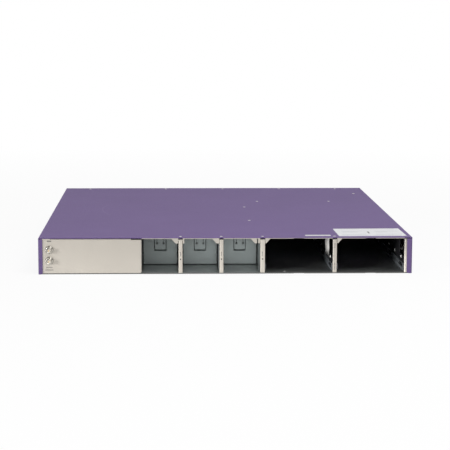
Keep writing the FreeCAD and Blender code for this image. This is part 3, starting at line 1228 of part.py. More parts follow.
NODES = {
    "top_cover": top_cover(),
    "chassis_tray": chassis_tray(),
    "front_panel": front_panel(),
    "front_posts": front_posts(),
    "front_foot_rail": front_foot_rail(),
    "front_top_rail": front_top_rail(),
    "rear_blank_panel": rear_blank_panel(),
    "fan_divider_left": fan_divider(*FAN_POSTS[0]),
    "fan_divider_right": fan_divider(*FAN_POSTS[1]),
    "bay_divider": bay_divider(),
    "psu_divider": psu_divider(),
    "psu_right_wall": psu_right_wall(),
    "psu_front_wall": psu_front_wall(),
    "rear_top_rail": rear_top_rail(),
    "fan_shutter_left": fan_shutter(*FAN_BAYS[0]),
    "fan_shutter_middle": fan_shutter(*FAN_BAYS[1]),
    "fan_shutter_right": fan_shutter(*FAN_BAYS[2]),
    "shutter_pins": shutter_pins(),
    "psu_guide_rails": psu_guide_rails(),
    "psu_ground_springs": psu_ground_springs(),
    "bay_rivets": bay_rivets(),
    "post_lamps": post_lamps(),
    "coax_jack_lower": coax_jack(COAX_Z[0]),
    "coax_jack_upper": coax_jack(COAX_Z[1]),
    "coax_insulators": coax_insulators(),
    "coax_contacts": coax_contacts(),
    "coax_washers": coax_washers(),
    "coax_nuts": coax_nuts(),
    "timing_board": timing_board(),
    "cover_screws_rear": cover_screws(REAR_SCREWS),
    "cover_screws_middle": cover_screws(MIDDLE_SCREWS),
    "cover_screws_front": cover_screws(FRONT_SCREWS),
    "cover_support_angle": cover_support_angle(),
    "cover_pillar": cover_pillar(),
    "main_board": main_board(),
    "board_standoffs": board_standoffs(),
    "switch_chip": chip(CHIP_X, CHIP_Y, CHIP_SIZE, CHIP_HEIGHT),
    "switch_heatsink": finned_sink(CHIP_X, CHIP_Y, BOARD_TOP + CHIP_HEIGHT, SINK_WIDTH, SINK_LENGTH,
                                   SINK_HEIGHT, SINK_FIN_COUNT),
    "cpu_chip": chip(CPU_X, CPU_Y, CPU_SIZE, CPU_HEIGHT),
    "cpu_heatsink": finned_sink(CPU_X, CPU_Y, BOARD_TOP + CPU_HEIGHT, CPU_SINK_WIDTH, CPU_SINK_LENGTH,
                                CPU_SINK_HEIGHT, CPU_SINK_FIN_COUNT),
    "memory_socket": MEMORY_SOCKET,
    "memory_module": MEMORY_MODULE,
    "fan_connectors": fan_connectors(),
    "psu_backplane": psu_backplane(),
    "psu_connectors": psu_connectors(),
    "power_busbars": power_busbars(),
    "sfp_cage_shell": SFP.shell(),
    "sfp_cage_floor": SFP.floor_plate(),
    "sfp_cage_dividers": SFP.dividers(),
    "sfp_port_separators": SFP.separators(),
    "sfp_connectors": SFP.connectors(),
    "qsfp_cage_shell": QSFP.shell(),
    "qsfp_cage_floor": QSFP.floor_plate(),
    "qsfp_port_separator": QSFP.separators(),
    "qsfp_connector": QSFP.connectors(),
    "port_light_pipes": SFP.pipes() + QSFP.pipes(),
    "management_jack": management_jack(),
    "console_port": console_port(),
    "status_light_pipes": status_light_pipes(),
}

for name, shape in NODES.items():
    if isinstance(shape, list):
        shape = Part.makeCompound(shape)
    shape.exportStep("parts/" + name + ".step")
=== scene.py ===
import json
import math

import bmesh
import bpy
from mathutils import Matrix, Vector


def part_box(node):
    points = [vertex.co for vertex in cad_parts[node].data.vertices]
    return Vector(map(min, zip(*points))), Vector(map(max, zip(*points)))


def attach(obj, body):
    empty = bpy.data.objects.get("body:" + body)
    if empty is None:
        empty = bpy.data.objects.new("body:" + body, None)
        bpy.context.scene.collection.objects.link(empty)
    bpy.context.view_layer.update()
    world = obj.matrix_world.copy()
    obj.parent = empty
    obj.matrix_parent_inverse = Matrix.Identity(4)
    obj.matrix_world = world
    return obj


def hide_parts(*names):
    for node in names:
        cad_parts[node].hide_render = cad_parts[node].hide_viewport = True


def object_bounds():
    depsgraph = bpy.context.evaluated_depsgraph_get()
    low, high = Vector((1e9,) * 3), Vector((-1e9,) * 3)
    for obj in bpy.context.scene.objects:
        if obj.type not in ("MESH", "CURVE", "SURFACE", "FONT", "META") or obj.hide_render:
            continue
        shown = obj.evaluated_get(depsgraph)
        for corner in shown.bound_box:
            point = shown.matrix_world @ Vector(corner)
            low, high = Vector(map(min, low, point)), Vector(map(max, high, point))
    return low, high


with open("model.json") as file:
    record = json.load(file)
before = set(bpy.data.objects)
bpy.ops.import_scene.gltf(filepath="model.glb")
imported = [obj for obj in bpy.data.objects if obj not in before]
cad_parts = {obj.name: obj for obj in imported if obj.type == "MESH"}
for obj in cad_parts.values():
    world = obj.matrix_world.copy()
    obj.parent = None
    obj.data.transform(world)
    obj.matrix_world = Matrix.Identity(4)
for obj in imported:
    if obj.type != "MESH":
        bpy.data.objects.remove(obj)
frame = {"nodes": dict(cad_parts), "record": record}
CAD_LOW, CAD_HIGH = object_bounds()

# One-unit rack ethernet switch. Metres, in the frame of the solids: the service side faces -Y, +Z is up.
MM = 0.001
NODES = frame["nodes"]
SLOT_OF_NODE = {row["node"]: row["material_slot"] for row in frame["record"]["subparts"]}
FACE_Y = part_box("rear_blank_panel")[0].y

# Camera, as in the photograph: place in metres, angles in degrees, lens and sensor in millimetres
CAMERA_PLACE = (-0.0664, -1.9749, 0.3085)
CAMERA_YAW = 2.153
CAMERA_PITCH = 8.226
CAMERA_ROLL = 0.171
CAMERA_LENS = 119.15
CAMERA_SENSOR = 36.0
CAMERA_CLIP = (0.05, 100.0)

# Light. Each lamp has a name, a place, a size, a power in watts, and whether it shows in reflections
WHITE = (1, 1, 1, 1)
SKY_STRENGTH = 0.42
SKY_FADE_HEIGHT = (0.2, 0.9)
ZENITH_STRENGTH = 0.50
FLOOR_SIZE = 12.0
FLOOR_GAP = 0.05 * MM
FLOOR_COLOUR = (0.72, 0.72, 0.72, 1)
FLOOR_WHITE_NEAR = 0.90
FLOOR_WHITE_REACH = (0.4, 1.4)
LAMPS = (("lamp_right", (0.6, -0.9, 1.7), (1.3, 1.3), 27.5, True),
         ("lamp_left", (-2.42, -2.32, 0.45), (0.9, 0.85), 78.0, True),
         ("lamp_back", (1.5, 2.3, 0.2), (1.4, 0.36), 55.0, False))

# Colours of paint and plating, of painted shade and painted reflection, and the usual depth of a fine relief
VIOLET = (0.134, 0.0915, 0.2150, 1)
PLATE_COLOUR = (0.545, 0.507, 0.452, 1)
PLATE_METALLIC = 0.82
# Painted shade for the surfaces behind the outer face of the blank plate and of the posts
PLATE_INSIDE_SHADE = (0.15, 0.15, 0.145, 1)
POST_INSIDE_SHADE = (0.43, 0.455, 0.45, 1)
# Black painted shade on the supply bays' walls, and a grey painted reflection of the floor at their foot
WALL_SHADE_COLOUR = (0.012, 0.012, 0.014, 1)
WALL_FOOT_REFLECTION_COLOUR = (0.158, 0.172, 0.182, 1)
# Painted shade round the ends of the shutters' slots
SLOT_SHADE_COLOUR = (0.02, 0.02, 0.02, 1)
BOARD_MASK = (0.010, 0.060, 0.026, 1)
BOARD_TRACE = (0.022, 0.105, 0.045, 1)
FINE_RELIEF = 0.02 * MM

# Most of a noise's values lie in this span
NOISE_SPAN = (0.3, 0.7)

# Sockets of a Mix node that mixes colours: their names are shared, so they go by number
MIX_FACTOR, MIX_FIRST, MIX_SECOND, MIX_RESULT = 0, 6, 7, 2

# Depth of the outer skin of the posts and of the blank plate; the surfaces behind it get painted shade
LIT_SKIN_DEPTH = 1.3 * MM

# Painted light and shade that follow a place on the part: where it starts and ends, and the tone at each end
# Painted shade that darkens plating towards its top
PLATE_SHADE_Z = (4 * MM, 42 * MM)
PLATE_FOOT_SHADE = 1.0
PLATE_TOP_SHADE = 0.90
# Painted shadow under the cover's lip on the posts' tops, and painted shade on their bends
POST_LIP_SHADOW_Z = (39.8 * MM, 41.0 * MM)
POST_LIP_SHADOW_TONES = (1.0, 0.55)
POST_SIDE_SHADE = 0.45
# Painted shade on the cover's sides and lip, below its top
COVER_SIDE_SHADE_Z = (41.5 * MM, CAD_HIGH.z)
COVER_SIDE_SHADES = (0.86, 1.0)
# Painted light on the shutters: paler to the right and towards the floor
SHUTTER_LIGHT_X = (-100 * MM, 0.0)
SHUTTER_LIGHT_ACROSS = (0.76, 1.22)
SHUTTER_LIGHT_Z = (8 * MM, 38 * MM)
SHUTTER_LIGHT_UP = (1.28, 0.97)
CRYSTAL_GLOSS = 0.06
# Painted shade on the supply bays' floor at their mouths and painted light deeper in, and its lower metallic
# there
SUPPLY_FLOOR_SHADE_Y = (FACE_Y + 20 * MM, FACE_Y + 135 * MM)
SUPPLY_FLOOR_SHADES = (0.31, 1.25)
SUPPLY_FLOOR_METALLIC_LOSS = 0.4
# Painted shade on the rivets near the floor
RIVET_SHADE_Z = (3 * MM, 8 * MM)
RIVET_SHADES = (0.25, 1.0)
# Share of the spring's height over which painted shade darkens its lower end
SPRING_SHADE_SHARE = 0.55

# Painted shade along the floor's edge at the service side
FLOOR_EDGE_SHADE_DEPTH = 2 * MM
FLOOR_EDGE_SHADE_HEIGHT = 1.15 * MM

# Black painted shade on the supply bays' walls, and a grey painted reflection of the floor at their foot
WALL_SHADE_START_Y = FACE_Y + 2.4 * MM
WALL_SHADE_OVERLAP = 0.9 * MM
WALL_SHADE_ROUGHNESS_GAIN = 0.1
WALL_FOOT_RISE = 0.2 * MM
WALL_FOOT_END_Y = 0.0

# Slots in the shutters' pads: where their lower ends are, and how far the painted shade round them reaches
SHUTTERS = ("fan_shutter_left", "fan_shutter_middle", "fan_shutter_right")
SLOT_OFFSET = 4.0 * MM
SLOT_END_Z = 27.5 * MM
SLOT_SHADE_REACH = 2.0 * MM

# Marks on the top of the cover: a faint arc scratch and a dark speck
TOP_SKIN = 0.2 * MM
SCRATCH_CENTRE = (-20 * MM, 10 * MM, 0)
SCRATCH_RADIUS = 136 * MM
SCRATCH_WIDTH = 0.5 * MM
SCRATCH_MIDDLE_Y = 2 * MM
SCRATCH_HALF_Y = 50 * MM
SCRATCH_RIGHT_X = -100 * MM
SCRATCH_STRENGTH = 0.16
SCRATCH_COLOUR = (0.42, 0.38, 0.5, 1)
SPECK_CENTRE = (-109 * MM, -224 * MM, 0)
SPECK_RADIUS = 1.1 * MM
SPECK_STRENGTH = 0.6
SPECK_COLOUR = (0.05, 0.03, 0.10, 1)

# Rounding of coordinates, in decimals of a metre, to weld a solid's points and to sort solids
WELD_DIGITS = 6
SORT_DIGITS = 4

# Labels on the cover: x and y spans. The larger one has plain bars, in millimetres as y, start and end
LABEL_X = (133.6 * MM, 214.2 * MM)
LABEL_Y = (-237.7 * MM, -177.5 * MM)
LABEL_TURN = 1.2
STRIP_X = (94.4 * MM, 124.8 * MM)
STRIP_Y = (-235.6 * MM, -227.6 * MM)
LABEL_SHEET = 0.06 * MM
LABEL_CORNER = 1.2 * MM
LABEL_STEPS = 6
INK_RISE = 0.01 * MM
BAR_HALF = 1.1 * MM
BARS = ((-181.0, 140.0, 165.0), (-181.0, 179.0, 208.0), (-199.0, 141.0, 166.0), (-199.0, 181.0, 209.0),
        (-206.0, 142.0, 160.0), (-206.0, 182.0, 196.0), (-223.0, 139.0, 168.0), (-223.0, 180.0, 205.0),
        (-230.5, 139.0, 170.0), (-230.5, 176.0, 210.0))
DARK_BAR = ((171.6, -217.0), (173.8, -202.0))

# Plain ticks, in millimetres: the feet of those on the posts, and the rows by the jacks, as z, the number of
# ticks on each side of the middle, half their height, and their width
POSTS_WITH_TICKS = ("fan_divider_left", "fan_divider_right", "bay_divider")
POST_TICKS = (21.0, 22.6, 24.0, 25.2)
POST_TICK_INSET = 2.5 * MM
POST_TICK_SHARE = 0.55
DIVIDER_TICKS = (4.8, 6.6, 8.2, 10.2, 11.6, 30.6, 32.2, 33.8, 35.2)
DIVIDER_TICK_WIDTH = 0.9 * MM
TICK_HEIGHT = 1.0
JACK_TICKS = ((39.3, 2, 0.75, 0.90), (8.2, 3, 0.55, 0.62), (5.2, 4, 1.05, 0.40))
JACK_TICK_PITCH = 1.05 * MM

# Screw heads
HEAD_SEGMENTS = 32
HEAD_DEPTH = 0.8 * MM
HEAD_RISE = 0.20 * MM
HEAD_TOP_SHARE = 0.72
SHANK_RADIUS = 1.0 * MM
CROSS_REACH = 0.62
CROSS_HALF_WIDTH = 0.17
CROSS_DEPTH = 0.6 * MM
CROSS_TAPER = 0.72

# Coax jacks: threaded end, plain barrel, collar behind the plate
JACK_SEGMENTS = 48
JACK_TIP_RADIUS = 3.1 * MM
JACK_TIP_LENGTH = 5.3 * MM
JACK_BARREL_RADIUS = 3.3 * MM
JACK_BORE_DEPTH = 3.4 * MM
JACK_EDGE = 0.25 * MM
COLLAR_LENGTH = 2.0 * MM
PLATE_SHEET = 0.8 * MM
THREAD_PITCH = 0.75 * MM
THREAD_DEPTH = 0.30 * MM
THREAD_STEPS = 6
NUT_SEGMENTS = 72
NUT_BORE_GAP = 0.05 * MM
NUT_RIM_SHARE = 0.96
NUT_CHAMFER_SLOPE = 0.577

# Clinch nuts behind the bracket holes: y and z of each hole in millimetres
TRAY_SHEET = 1.2 * MM
NUT_PLACES = ((195.0, 11.0), (195.0, 33.0), (227.0, 11.0), (227.0, 33.0), (-187.0, 20.0), (-157.0, 20.0))
CLINCH_BORE = 2.1 * MM
CLINCH_RADIUS = 3.3 * MM
CLINCH_HEIGHT = 2.2 * MM
CLINCH_CHAMFER = 0.4 * MM
CLINCH_SEGMENTS = 32

# Contacts of the network jack: the path gives y from its mouth and z from its foot in millimetres
JACK_CONTACTS = 8
JACK_CONTACT_PITCH = 1.02 * MM
JACK_CONTACT_WIDTH = 0.46 * MM
JACK_CONTACT_SHEET = 0.2 * MM
JACK_CONTACT_PATH = ((-2.2, 11.1), (-4.0, 11.05), (-9.6, 7.9), (-11.4, 7.6))

# Tongue and contacts of the serial socket: insets from its back and its mouth, and heights over its middle
TONGUE_WIDTH = 4.6 * MM
TONGUE_SHEET = 0.55 * MM
TONGUE_BACK = 0.4 * MM
TONGUE_BEND = 1.6 * MM
TONGUE_TIP = 1.0 * MM
TONGUE_RISE = 0.1 * MM
TONGUE_TIP_RISE = 0.25 * MM
CONSOLE_CONTACTS = 5
CONSOLE_CONTACT_PITCH = 0.65 * MM
CONSOLE_CONTACT_WIDTH = 0.3 * MM
CONSOLE_CONTACT_SHEET = 0.08 * MM
CONSOLE_CONTACT_BACK = 0.5 * MM
CONSOLE_CONTACT_TIP = 1.8 * MM
CONSOLE_CONTACT_RISE = 0.02 * MM


# Helpers for shader nodes

def add(tree, kind, inputs=None, **settings):
    """New node. Inputs are values, or output sockets to link from."""
    node = tree.nodes.new("ShaderNode" + kind)
    for name, value in settings.items():
        setattr(node, name, value)
    for name, value in (inputs or {}).items():
        if isinstance(value, bpy.types.NodeSocket):
            tree.links.new(value, node.inputs[name])
        else:
            node.inputs[name].default_value = value
    return node


def new_shader(name, **values):
    """New material with its node tree, its main shader and object coordinates in metres."""
    material = bpy.data.materials.new(name)
    material.use_nodes = True
    tree = material.node_tree
    shader = tree.nodes["Principled BSDF"]
    for socket, value in values.items():
        shader.inputs[socket.replace("_", " ")].default_value = value
    return material, tree, shader, add(tree, "TexCoord").outputs["Object"]


def connect(tree, shader, **sockets):
    """Links outputs to the shader's sockets by name, with an underscore for a space."""
    for name, value in sockets.items():
        tree.links.new(value, shader.inputs[name.replace("_", " ")])


def math_node(tree, operation, *values, clamp=False):
    """Result of one math operation."""
    return add(tree, "Math", dict(enumerate(values)), operation=operation, use_clamp=clamp).outputs[0]


def product(tree, first, *others):
    """Product of two or more values."""
    for other in others:
        first = math_node(tree, "MULTIPLY", first, other)
    return first


def weighted(tree, first, second, share):
    """Mean of two values, with the given share for the first."""
    return math_node(tree, "MULTIPLY_ADD", first, share, math_node(tree, "MULTIPLY", second, 1 - share))


def axes_of(tree, vector):
    """The parts of a vector, by the names X, Y and Z."""
    return add(tree, "SeparateXYZ", {0: vector}).outputs


def ranged(tree, value, span, results, **settings):
    """Maps a span of values to a range of results, which holds at its ends."""
    inputs = {"Value": value, "From Min": span[0], "From Max": span[1],
              "To Min": results[0], "To Max": results[1]}
    return add(tree, "MapRange", inputs, **settings).outputs["Result"]


def painted_light_along(tree, place, axis, span, tones):
    """Slow change of painted light and shade along one axis, from the start to the end of a span."""
    return ranged(tree, axes_of(tree, place)[axis], span, tones, interpolation_type="SMOOTHSTEP")


def stretched(tree, place, scale):
    """Coordinates scaled by a different factor along each axis."""
    return add(tree, "Mapping", {"Vector": place, "Scale": scale}).outputs["Vector"]


def noise(tree, place, scale, detail=2.0, roughness=0.5):
    """Grey noise, from 0 to 1, with so many features to the metre."""
    inputs = {"Vector": place, "Scale": scale, "Detail": detail, "Roughness": roughness}
    return add(tree, "TexNoise", inputs).outputs["Fac"]


def spread(tree, value, low=0.0, high=1.0):
    """A noise value spread to the range from low to high."""
    return ranged(tree, value, NOISE_SPAN, (low, high))


def uneven(tree, value, middle, share):
    """A noise value spread to a share below and above a middle."""
    return spread(tree, value, middle * (1 - share), middle * (1 + share))


def clouds(tree, place, scale, detail=2.0):
    """Noise spread to the whole range from 0 to 1."""
    return spread(tree, noise(tree, place, scale, detail))


def near_arc(tree, place, centre, radius, width, plane=(1, 1, 0)):
    """1 on a thin arc round a centre, in one plane, fading to 0 at its edges. Radius 0 makes a spot."""
    flat = stretched(tree, place, plane)
    away = add(tree, "VectorMath", {0: flat, 1: centre}, operation="DISTANCE").outputs["Value"]
    off = math_node(tree, "ABSOLUTE", math_node(tree, "SUBTRACT", away, radius))
    return math_node(tree, "SUBTRACT", 1.0, math_node(tree, "DIVIDE", off, width), clamp=True)


def mix_colours(tree, factor, first, second):
    """First colour at factor 0 and second at 1."""
    inputs = {MIX_FACTOR: factor, MIX_FIRST: first, MIX_SECOND: second}
    return add(tree, "Mix", inputs, data_type="RGBA").outputs[MIX_RESULT]


def shade(colour, factor):
    """Colour made darker or lighter, with full opacity."""
    return tuple(min(1.0, c * factor) for c in colour[:3]) + (1,)


def varied(tree, factor, colour, low, high):
    """Colour that varies from a darker to a lighter shade of itself."""
    return mix_colours(tree, factor, shade(colour, low), shade(colour, high))


def scaled_colour(tree, colour, factor):
    """Colour times a grey factor."""
    return add(tree, "VectorMath", {0: colour, "Scale": factor}, operation="SCALE").outputs["Vector"]


def bump(tree, shader, height, strength, distance=FINE_RELIEF):
    """Fine relief on the shader's surface."""
    node = add(tree, "Bump", {"Height": height, "Strength": strength, "Distance": distance})
    connect(tree, shader, Normal=node.outputs["Normal"])


# Materials

def metal(name, colour, roughness, variation=0.05, grain=(90.0, 90.0, 90.0), metallic=1.0):
    """Bare metal: soft patches of tone, a directed grain in the gloss, and a fine relief."""
    material, tree, shader, place = new_shader(name, Metallic=metallic)
    patches = noise(tree, place, scale=12.0, detail=4.0)
    streaks = noise(tree, stretched(tree, place, grain), scale=12.0, detail=5.0, roughness=0.6)
    tone = spread(tree, weighted(tree, streaks, patches, share=0.4))
    colours = varied(tree, tone, colour, 1 - variation, 1 + variation)
    connect(tree, shader, Base_Color=colours, Roughness=uneven(tree, streaks, roughness, share=0.15))
    bump(tree, shader, noise(tree, place, scale=2400.0, detail=3.0), strength=0.06)
    return material


def plating_with_shade(tree, place, colour, foot=PLATE_FOOT_SHADE, top=PLATE_TOP_SHADE):
    """Colour of nickel plating: soft clouds, and a slow painted shade from the sheet's foot to its top."""
    colours = varied(tree, clouds(tree, place, scale=14.0, detail=3.0), colour, low=0.97, high=1.03)
    return scaled_colour(tree, colours, painted_light_along(tree, place, "Z", PLATE_SHADE_Z, (foot, top)))


def post_plating_with_shade(tree, place, colour, foot=PLATE_FOOT_SHADE, top=PLATE_TOP_SHADE, bend=POST_SIDE_SHADE):
    """Plating on a post: painted shadow under the cover's lip, and painted shade and light on its bends."""
    rim = painted_light_along(tree, place, "Z", POST_LIP_SHADOW_Z, POST_LIP_SHADOW_TONES)
    # Painted shade and light by the way a bend faces: by default darker on the left bend, lighter on the
    # right
    turn = axes_of(tree, add(tree, "NewGeometry").outputs["Normal"])["X"]
    side_shade = math_node(tree, "MULTIPLY_ADD", turn, bend, 1.0)
    return scaled_colour(tree, plating_with_shade(tree, place, colour, foot, top), product(tree, rim, side_shade))


def behind_face(tree, place):
    """1 on the surfaces behind the outer skin of the service side, and 0 on that skin."""
    return math_node(tree, "GREATER_THAN", axes_of(tree, place)["Y"], FACE_Y + LIT_SKIN_DEPTH)


def plated(name, colour, roughness, inside=None, tones=plating_with_shade):
    """Satin nickel plating on sheet steel, which may get painted shade behind the outer face."""
    material, tree, shader, place = new_shader(name, Metallic=PLATE_METALLIC)
    colours = tones(tree, place, colour)
    if inside:
        colours = mix_colours(tree, behind_face(tree, place), colours, inside)
    gloss = uneven(tree, noise(tree, place, scale=90.0, detail=3.0), roughness, share=0.07)
    connect(tree, shader, Base_Color=colours, Roughness=gloss)
    bump(tree, shader, noise(tree, place, scale=2400.0), strength=0.04)
    return material


def slot_shade(tree, place):
    """1 round the lower ends of the shutters' slots, where painted shade darkens them, and 0 elsewhere."""
    share = 0.0
    for node in SHUTTERS:
        low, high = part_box(node)
        for side in (-SLOT_OFFSET, SLOT_OFFSET):
            centre = ((low.x + high.x) / 2 + side, 0, SLOT_END_Z)
            spot = near_arc(tree, place, centre, 0.0, SLOT_SHADE_REACH, plane=(1, 0, 1))
            share = math_node(tree, "ADD", share, spot, clamp=True)
    return share


def galvanised(name, colour, roughness, metallic):
    """Zinc coat with a faint spangle, painted light making it paler to the right and towards the floor."""
    material, tree, shader, place = new_shader(name, Metallic=metallic)
    cells = add(tree, "TexVoronoi", {"Vector": place, "Scale": 260.0, "Randomness": 1.0})
    crystals = add(tree, "SeparateColor", {0: cells.outputs["Color"]}).outputs[0]
    tone = weighted(tree, crystals, clouds(tree, place, scale=30.0, detail=4.0), share=0.35)
    across = painted_light_along(tree, place, "X", SHUTTER_LIGHT_X, SHUTTER_LIGHT_ACROSS)
    upward = painted_light_along(tree, place, "Z", SHUTTER_LIGHT_Z, SHUTTER_LIGHT_UP)
    colours = varied(tree, tone, colour, low=0.96, high=1.04)
    colours = scaled_colour(tree, colours, product(tree, across, upward))
    # Painted shade round the lower ends of the shutters' slots
    colours = mix_colours(tree, slot_shade(tree, place), colours, SLOT_SHADE_COLOUR)
    gloss = math_node(tree, "MULTIPLY_ADD", crystals, CRYSTAL_GLOSS, roughness)
    connect(tree, shader, Base_Color=colours, Roughness=gloss)
    bump(tree, shader, noise(tree, place, scale=1500.0, detail=3.0), strength=0.04)
    return material


def rolled_floor(name, colour, edge_shade_colour, roughness, metallic):
    """Rolled zinc sheet, painted shade at the supply bays' mouths and along its edge at the service side."""
    material, tree, shader, place = new_shader(name)
    axes = axes_of(tree, place)
    tone = clouds(tree, stretched(tree, place, scale=(1.0, 0.4, 1.0)), scale=14.0)
    colours = varied(tree, tone, colour, low=0.97, high=1.03)
    bays = math_node(tree, "GREATER_THAN", axes["X"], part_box("bay_divider")[1].x)
    # Painted shade at the supply bays' mouths and painted light deeper in
    floor_shade = painted_light_along(tree, place, "Y", SUPPLY_FLOOR_SHADE_Y, SUPPLY_FLOOR_SHADES)
    dim = math_node(tree, "MULTIPLY_ADD", bays, math_node(tree, "SUBTRACT", floor_shade, 1.0), 1.0)
    # Painted shade along the floor's edge at the service side
    edge = product(tree, math_node(tree, "LESS_THAN", axes["Y"], FACE_Y + FLOOR_EDGE_SHADE_DEPTH),
                   math_node(tree, "LESS_THAN", axes["Z"], FLOOR_EDGE_SHADE_HEIGHT))
    colours = mix_colours(tree, edge, scaled_colour(tree, colours, dim), edge_shade_colour)
    shine = math_node(tree, "MULTIPLY_ADD", bays, -SUPPLY_FLOOR_METALLIC_LOSS, metallic)
    streaks = noise(tree, stretched(tree, place, scale=(6.0, 0.3, 6.0)), scale=20.0)
    gloss = uneven(tree, streaks, roughness, share=0.03)
    connect(tree, shader, Base_Color=colours, Metallic=shine, Roughness=gloss)
    return material


def spring(name, colour, lower_shade_colour):
    """Bright satin leaf with painted shade that darkens it towards its free lower end."""
    material, tree, shader, place = new_shader(name, Specular_IOR_Level=0.0)
    bright = varied(tree, clouds(tree, place, scale=60.0, detail=3.0), colour, low=0.97, high=1.03)
    low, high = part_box("psu_ground_springs")
    fade_end = low.z + SPRING_SHADE_SHARE * (high.z - low.z)
    lit = painted_light_along(tree, place, "Z", (low.z, fade_end), (0.0, 1.0))
    gloss = spread(tree, noise(tree, place, scale=200.0), low=0.45, high=0.55)
    connect(tree, shader, Base_Color=mix_colours(tree, lit, lower_shade_colour, bright), Roughness=gloss)
    return material


def rivet_heads(name, colour):
    """Bright rivets, with painted shade that darkens those on the floor of the bays."""
    material, tree, shader, place = new_shader(name, Metallic=0.1, Roughness=0.4)
    colours = varied(tree, clouds(tree, place, scale=900.0), colour, low=0.95, high=1.05)
    lit = painted_light_along(tree, place, "Z", RIVET_SHADE_Z, RIVET_SHADES)
    connect(tree, shader, Base_Color=scaled_colour(tree, colours, lit))
    return material


def shaded_in_crevices(name, colour, crevice_shade, roughness, reach):
    """Bright plating with dark brown painted shade in its threads, corners and gaps."""
    material, tree, shader, place = new_shader(name, Metallic=1.0)
    open_share = add(tree, "AmbientOcclusion", {"Distance": reach}, samples=8).outputs["AO"]
    unshaded = ranged(tree, open_share, span=(0.45, 0.92), results=(0.0, 1.0))
    plating = varied(tree, clouds(tree, place, scale=700.0, detail=4.0), colour, low=0.94, high=1.06)
    gloss = uneven(tree, noise(tree, place, scale=1200.0), roughness, share=0.2)
    connect(tree, shader, Base_Color=mix_colours(tree, unshaded, crevice_shade, plating), Roughness=gloss)
    bump(tree, shader, noise(tree, place, scale=5000.0), strength=0.05, distance=0.01 * MM)
    return material


def moulded(name, colour, roughness, variation=0.08, relief=0.12, **values):
    """Moulded plastic: slight tone changes and a fine spark-eroded grain."""
    material, tree, shader, place = new_shader(name, **values)
    tone = clouds(tree, place, scale=60.0, detail=4.0)
    colours = varied(tree, tone, colour, 1 - variation, 1 + variation)
    gloss = uneven(tree, noise(tree, place, scale=240.0), roughness, share=0.1)
    connect(tree, shader, Base_Color=colours, Roughness=gloss)
    bump(tree, shader, noise(tree, place, scale=1800.0), relief, distance=0.03 * MM)
    return material


def violet_paint():
    """Fine textured powder coat, with painted shade below its top, an arc scratch and a dark speck on the
    top.
    """
    material, tree, shader, place = new_shader("violet_paint", Specular_IOR_Level=0.10)
    axes = axes_of(tree, place)
    patches = clouds(tree, place, scale=16.0, detail=5.0)
    tone = weighted(tree, clouds(tree, place, scale=1500.0), patches, share=0.35)
    colours = varied(tree, tone, VIOLET, low=0.96, high=1.04)
    colours = scaled_colour(tree, colours, painted_light_along(tree, place, "Z", COVER_SIDE_SHADE_Z, COVER_SIDE_SHADES))

    top = math_node(tree, "GREATER_THAN", axes["Z"], CAD_HIGH.z - TOP_SKIN)
    arc = near_arc(tree, place, SCRATCH_CENTRE, SCRATCH_RADIUS, SCRATCH_WIDTH)
    span = math_node(tree, "COMPARE", axes["Y"], SCRATCH_MIDDLE_Y, SCRATCH_HALF_Y)
    left = math_node(tree, "LESS_THAN", axes["X"], SCRATCH_RIGHT_X)
    scratch = product(tree, arc, span, left, top, SCRATCH_STRENGTH)
    colours = mix_colours(tree, scratch, colours, SCRATCH_COLOUR)
    spot = near_arc(tree, place, SPECK_CENTRE, 0.0, SPECK_RADIUS)
    speck = product(tree, spot, top, SPECK_STRENGTH)
    colours = mix_colours(tree, speck, colours, SPECK_COLOUR)

    gloss = spread(tree, noise(tree, place, scale=900.0), low=0.54, high=0.64)
    connect(tree, shader, Base_Color=colours, Roughness=gloss)
    bump(tree, shader, noise(tree, place, scale=1100.0, detail=3.0), strength=0.22, distance=0.05 * MM)
    return material


def supply_wall(name, colour, **tones):
    """Wall of the supply bays: plated at its rear face, with black painted shade above a grey painted foot.
    """
    material, tree, shader, place = new_shader(name)
    axes = axes_of(tree, place)
    deep = math_node(tree, "GREATER_THAN", axes["Y"], WALL_SHADE_START_Y)
    right = math_node(tree, "GREATER_THAN", axes["X"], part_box("bay_divider")[1].x - WALL_SHADE_OVERLAP)
    inside = product(tree, deep, right)
    # Black painted shade on the walls inside the supply bays
    wall_shade = varied(tree, clouds(tree, place, scale=40.0, detail=4.0), WALL_SHADE_COLOUR, low=0.8, high=1.3)
    # A grey painted reflection of the floor at the walls' foot, below the guide rails
    foot_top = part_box("psu_guide_rails")[0].z + WALL_FOOT_RISE
    foot = product(tree, math_node(tree, "LESS_THAN", axes["Z"], foot_top),
                   math_node(tree, "LESS_THAN", axes["Y"], WALL_FOOT_END_Y))
    dark = mix_colours(tree, foot, wall_shade, WALL_FOOT_REFLECTION_COLOUR)
    plating = post_plating_with_shade(tree, place, colour, **tones)
    # Painted shade behind the outer face
    plating = mix_colours(tree, behind_face(tree, place), plating, POST_INSIDE_SHADE)
    shine = math_node(tree, "MULTIPLY_ADD", inside, -PLATE_METALLIC, PLATE_METALLIC)
    gloss = spread(tree, noise(tree, place, scale=300.0), low=0.37, high=0.43)
    gloss = math_node(tree, "MULTIPLY_ADD", inside, WALL_SHADE_ROUGHNESS_GAIN, gloss)
    colours = mix_colours(tree, inside, plating, dark)
    connect(tree, shader, Base_Color=colours, Metallic=shine, Roughness=gloss)
    bump(tree, shader, noise(tree, place, scale=2000.0), strength=0.04)
    return material


def board_green():
    """Solder mask with fine copper traces showing through as a lighter tone."""
    material, tree, shader, place = new_shader("board_green", Roughness=0.35)
    rows = add(tree, "TexBrick", {"Vector": place, "Scale": 160.0, "Mortar Size": 0.03}, offset=0.37)
    connect(tree, shader, Base_Color=mix_colours(tree, rows.outputs["Fac"], BOARD_MASK, BOARD_TRACE))
    bump(tree, shader, rows.outputs["Fac"], strength=0.1, distance=0.03 * MM)
    return material


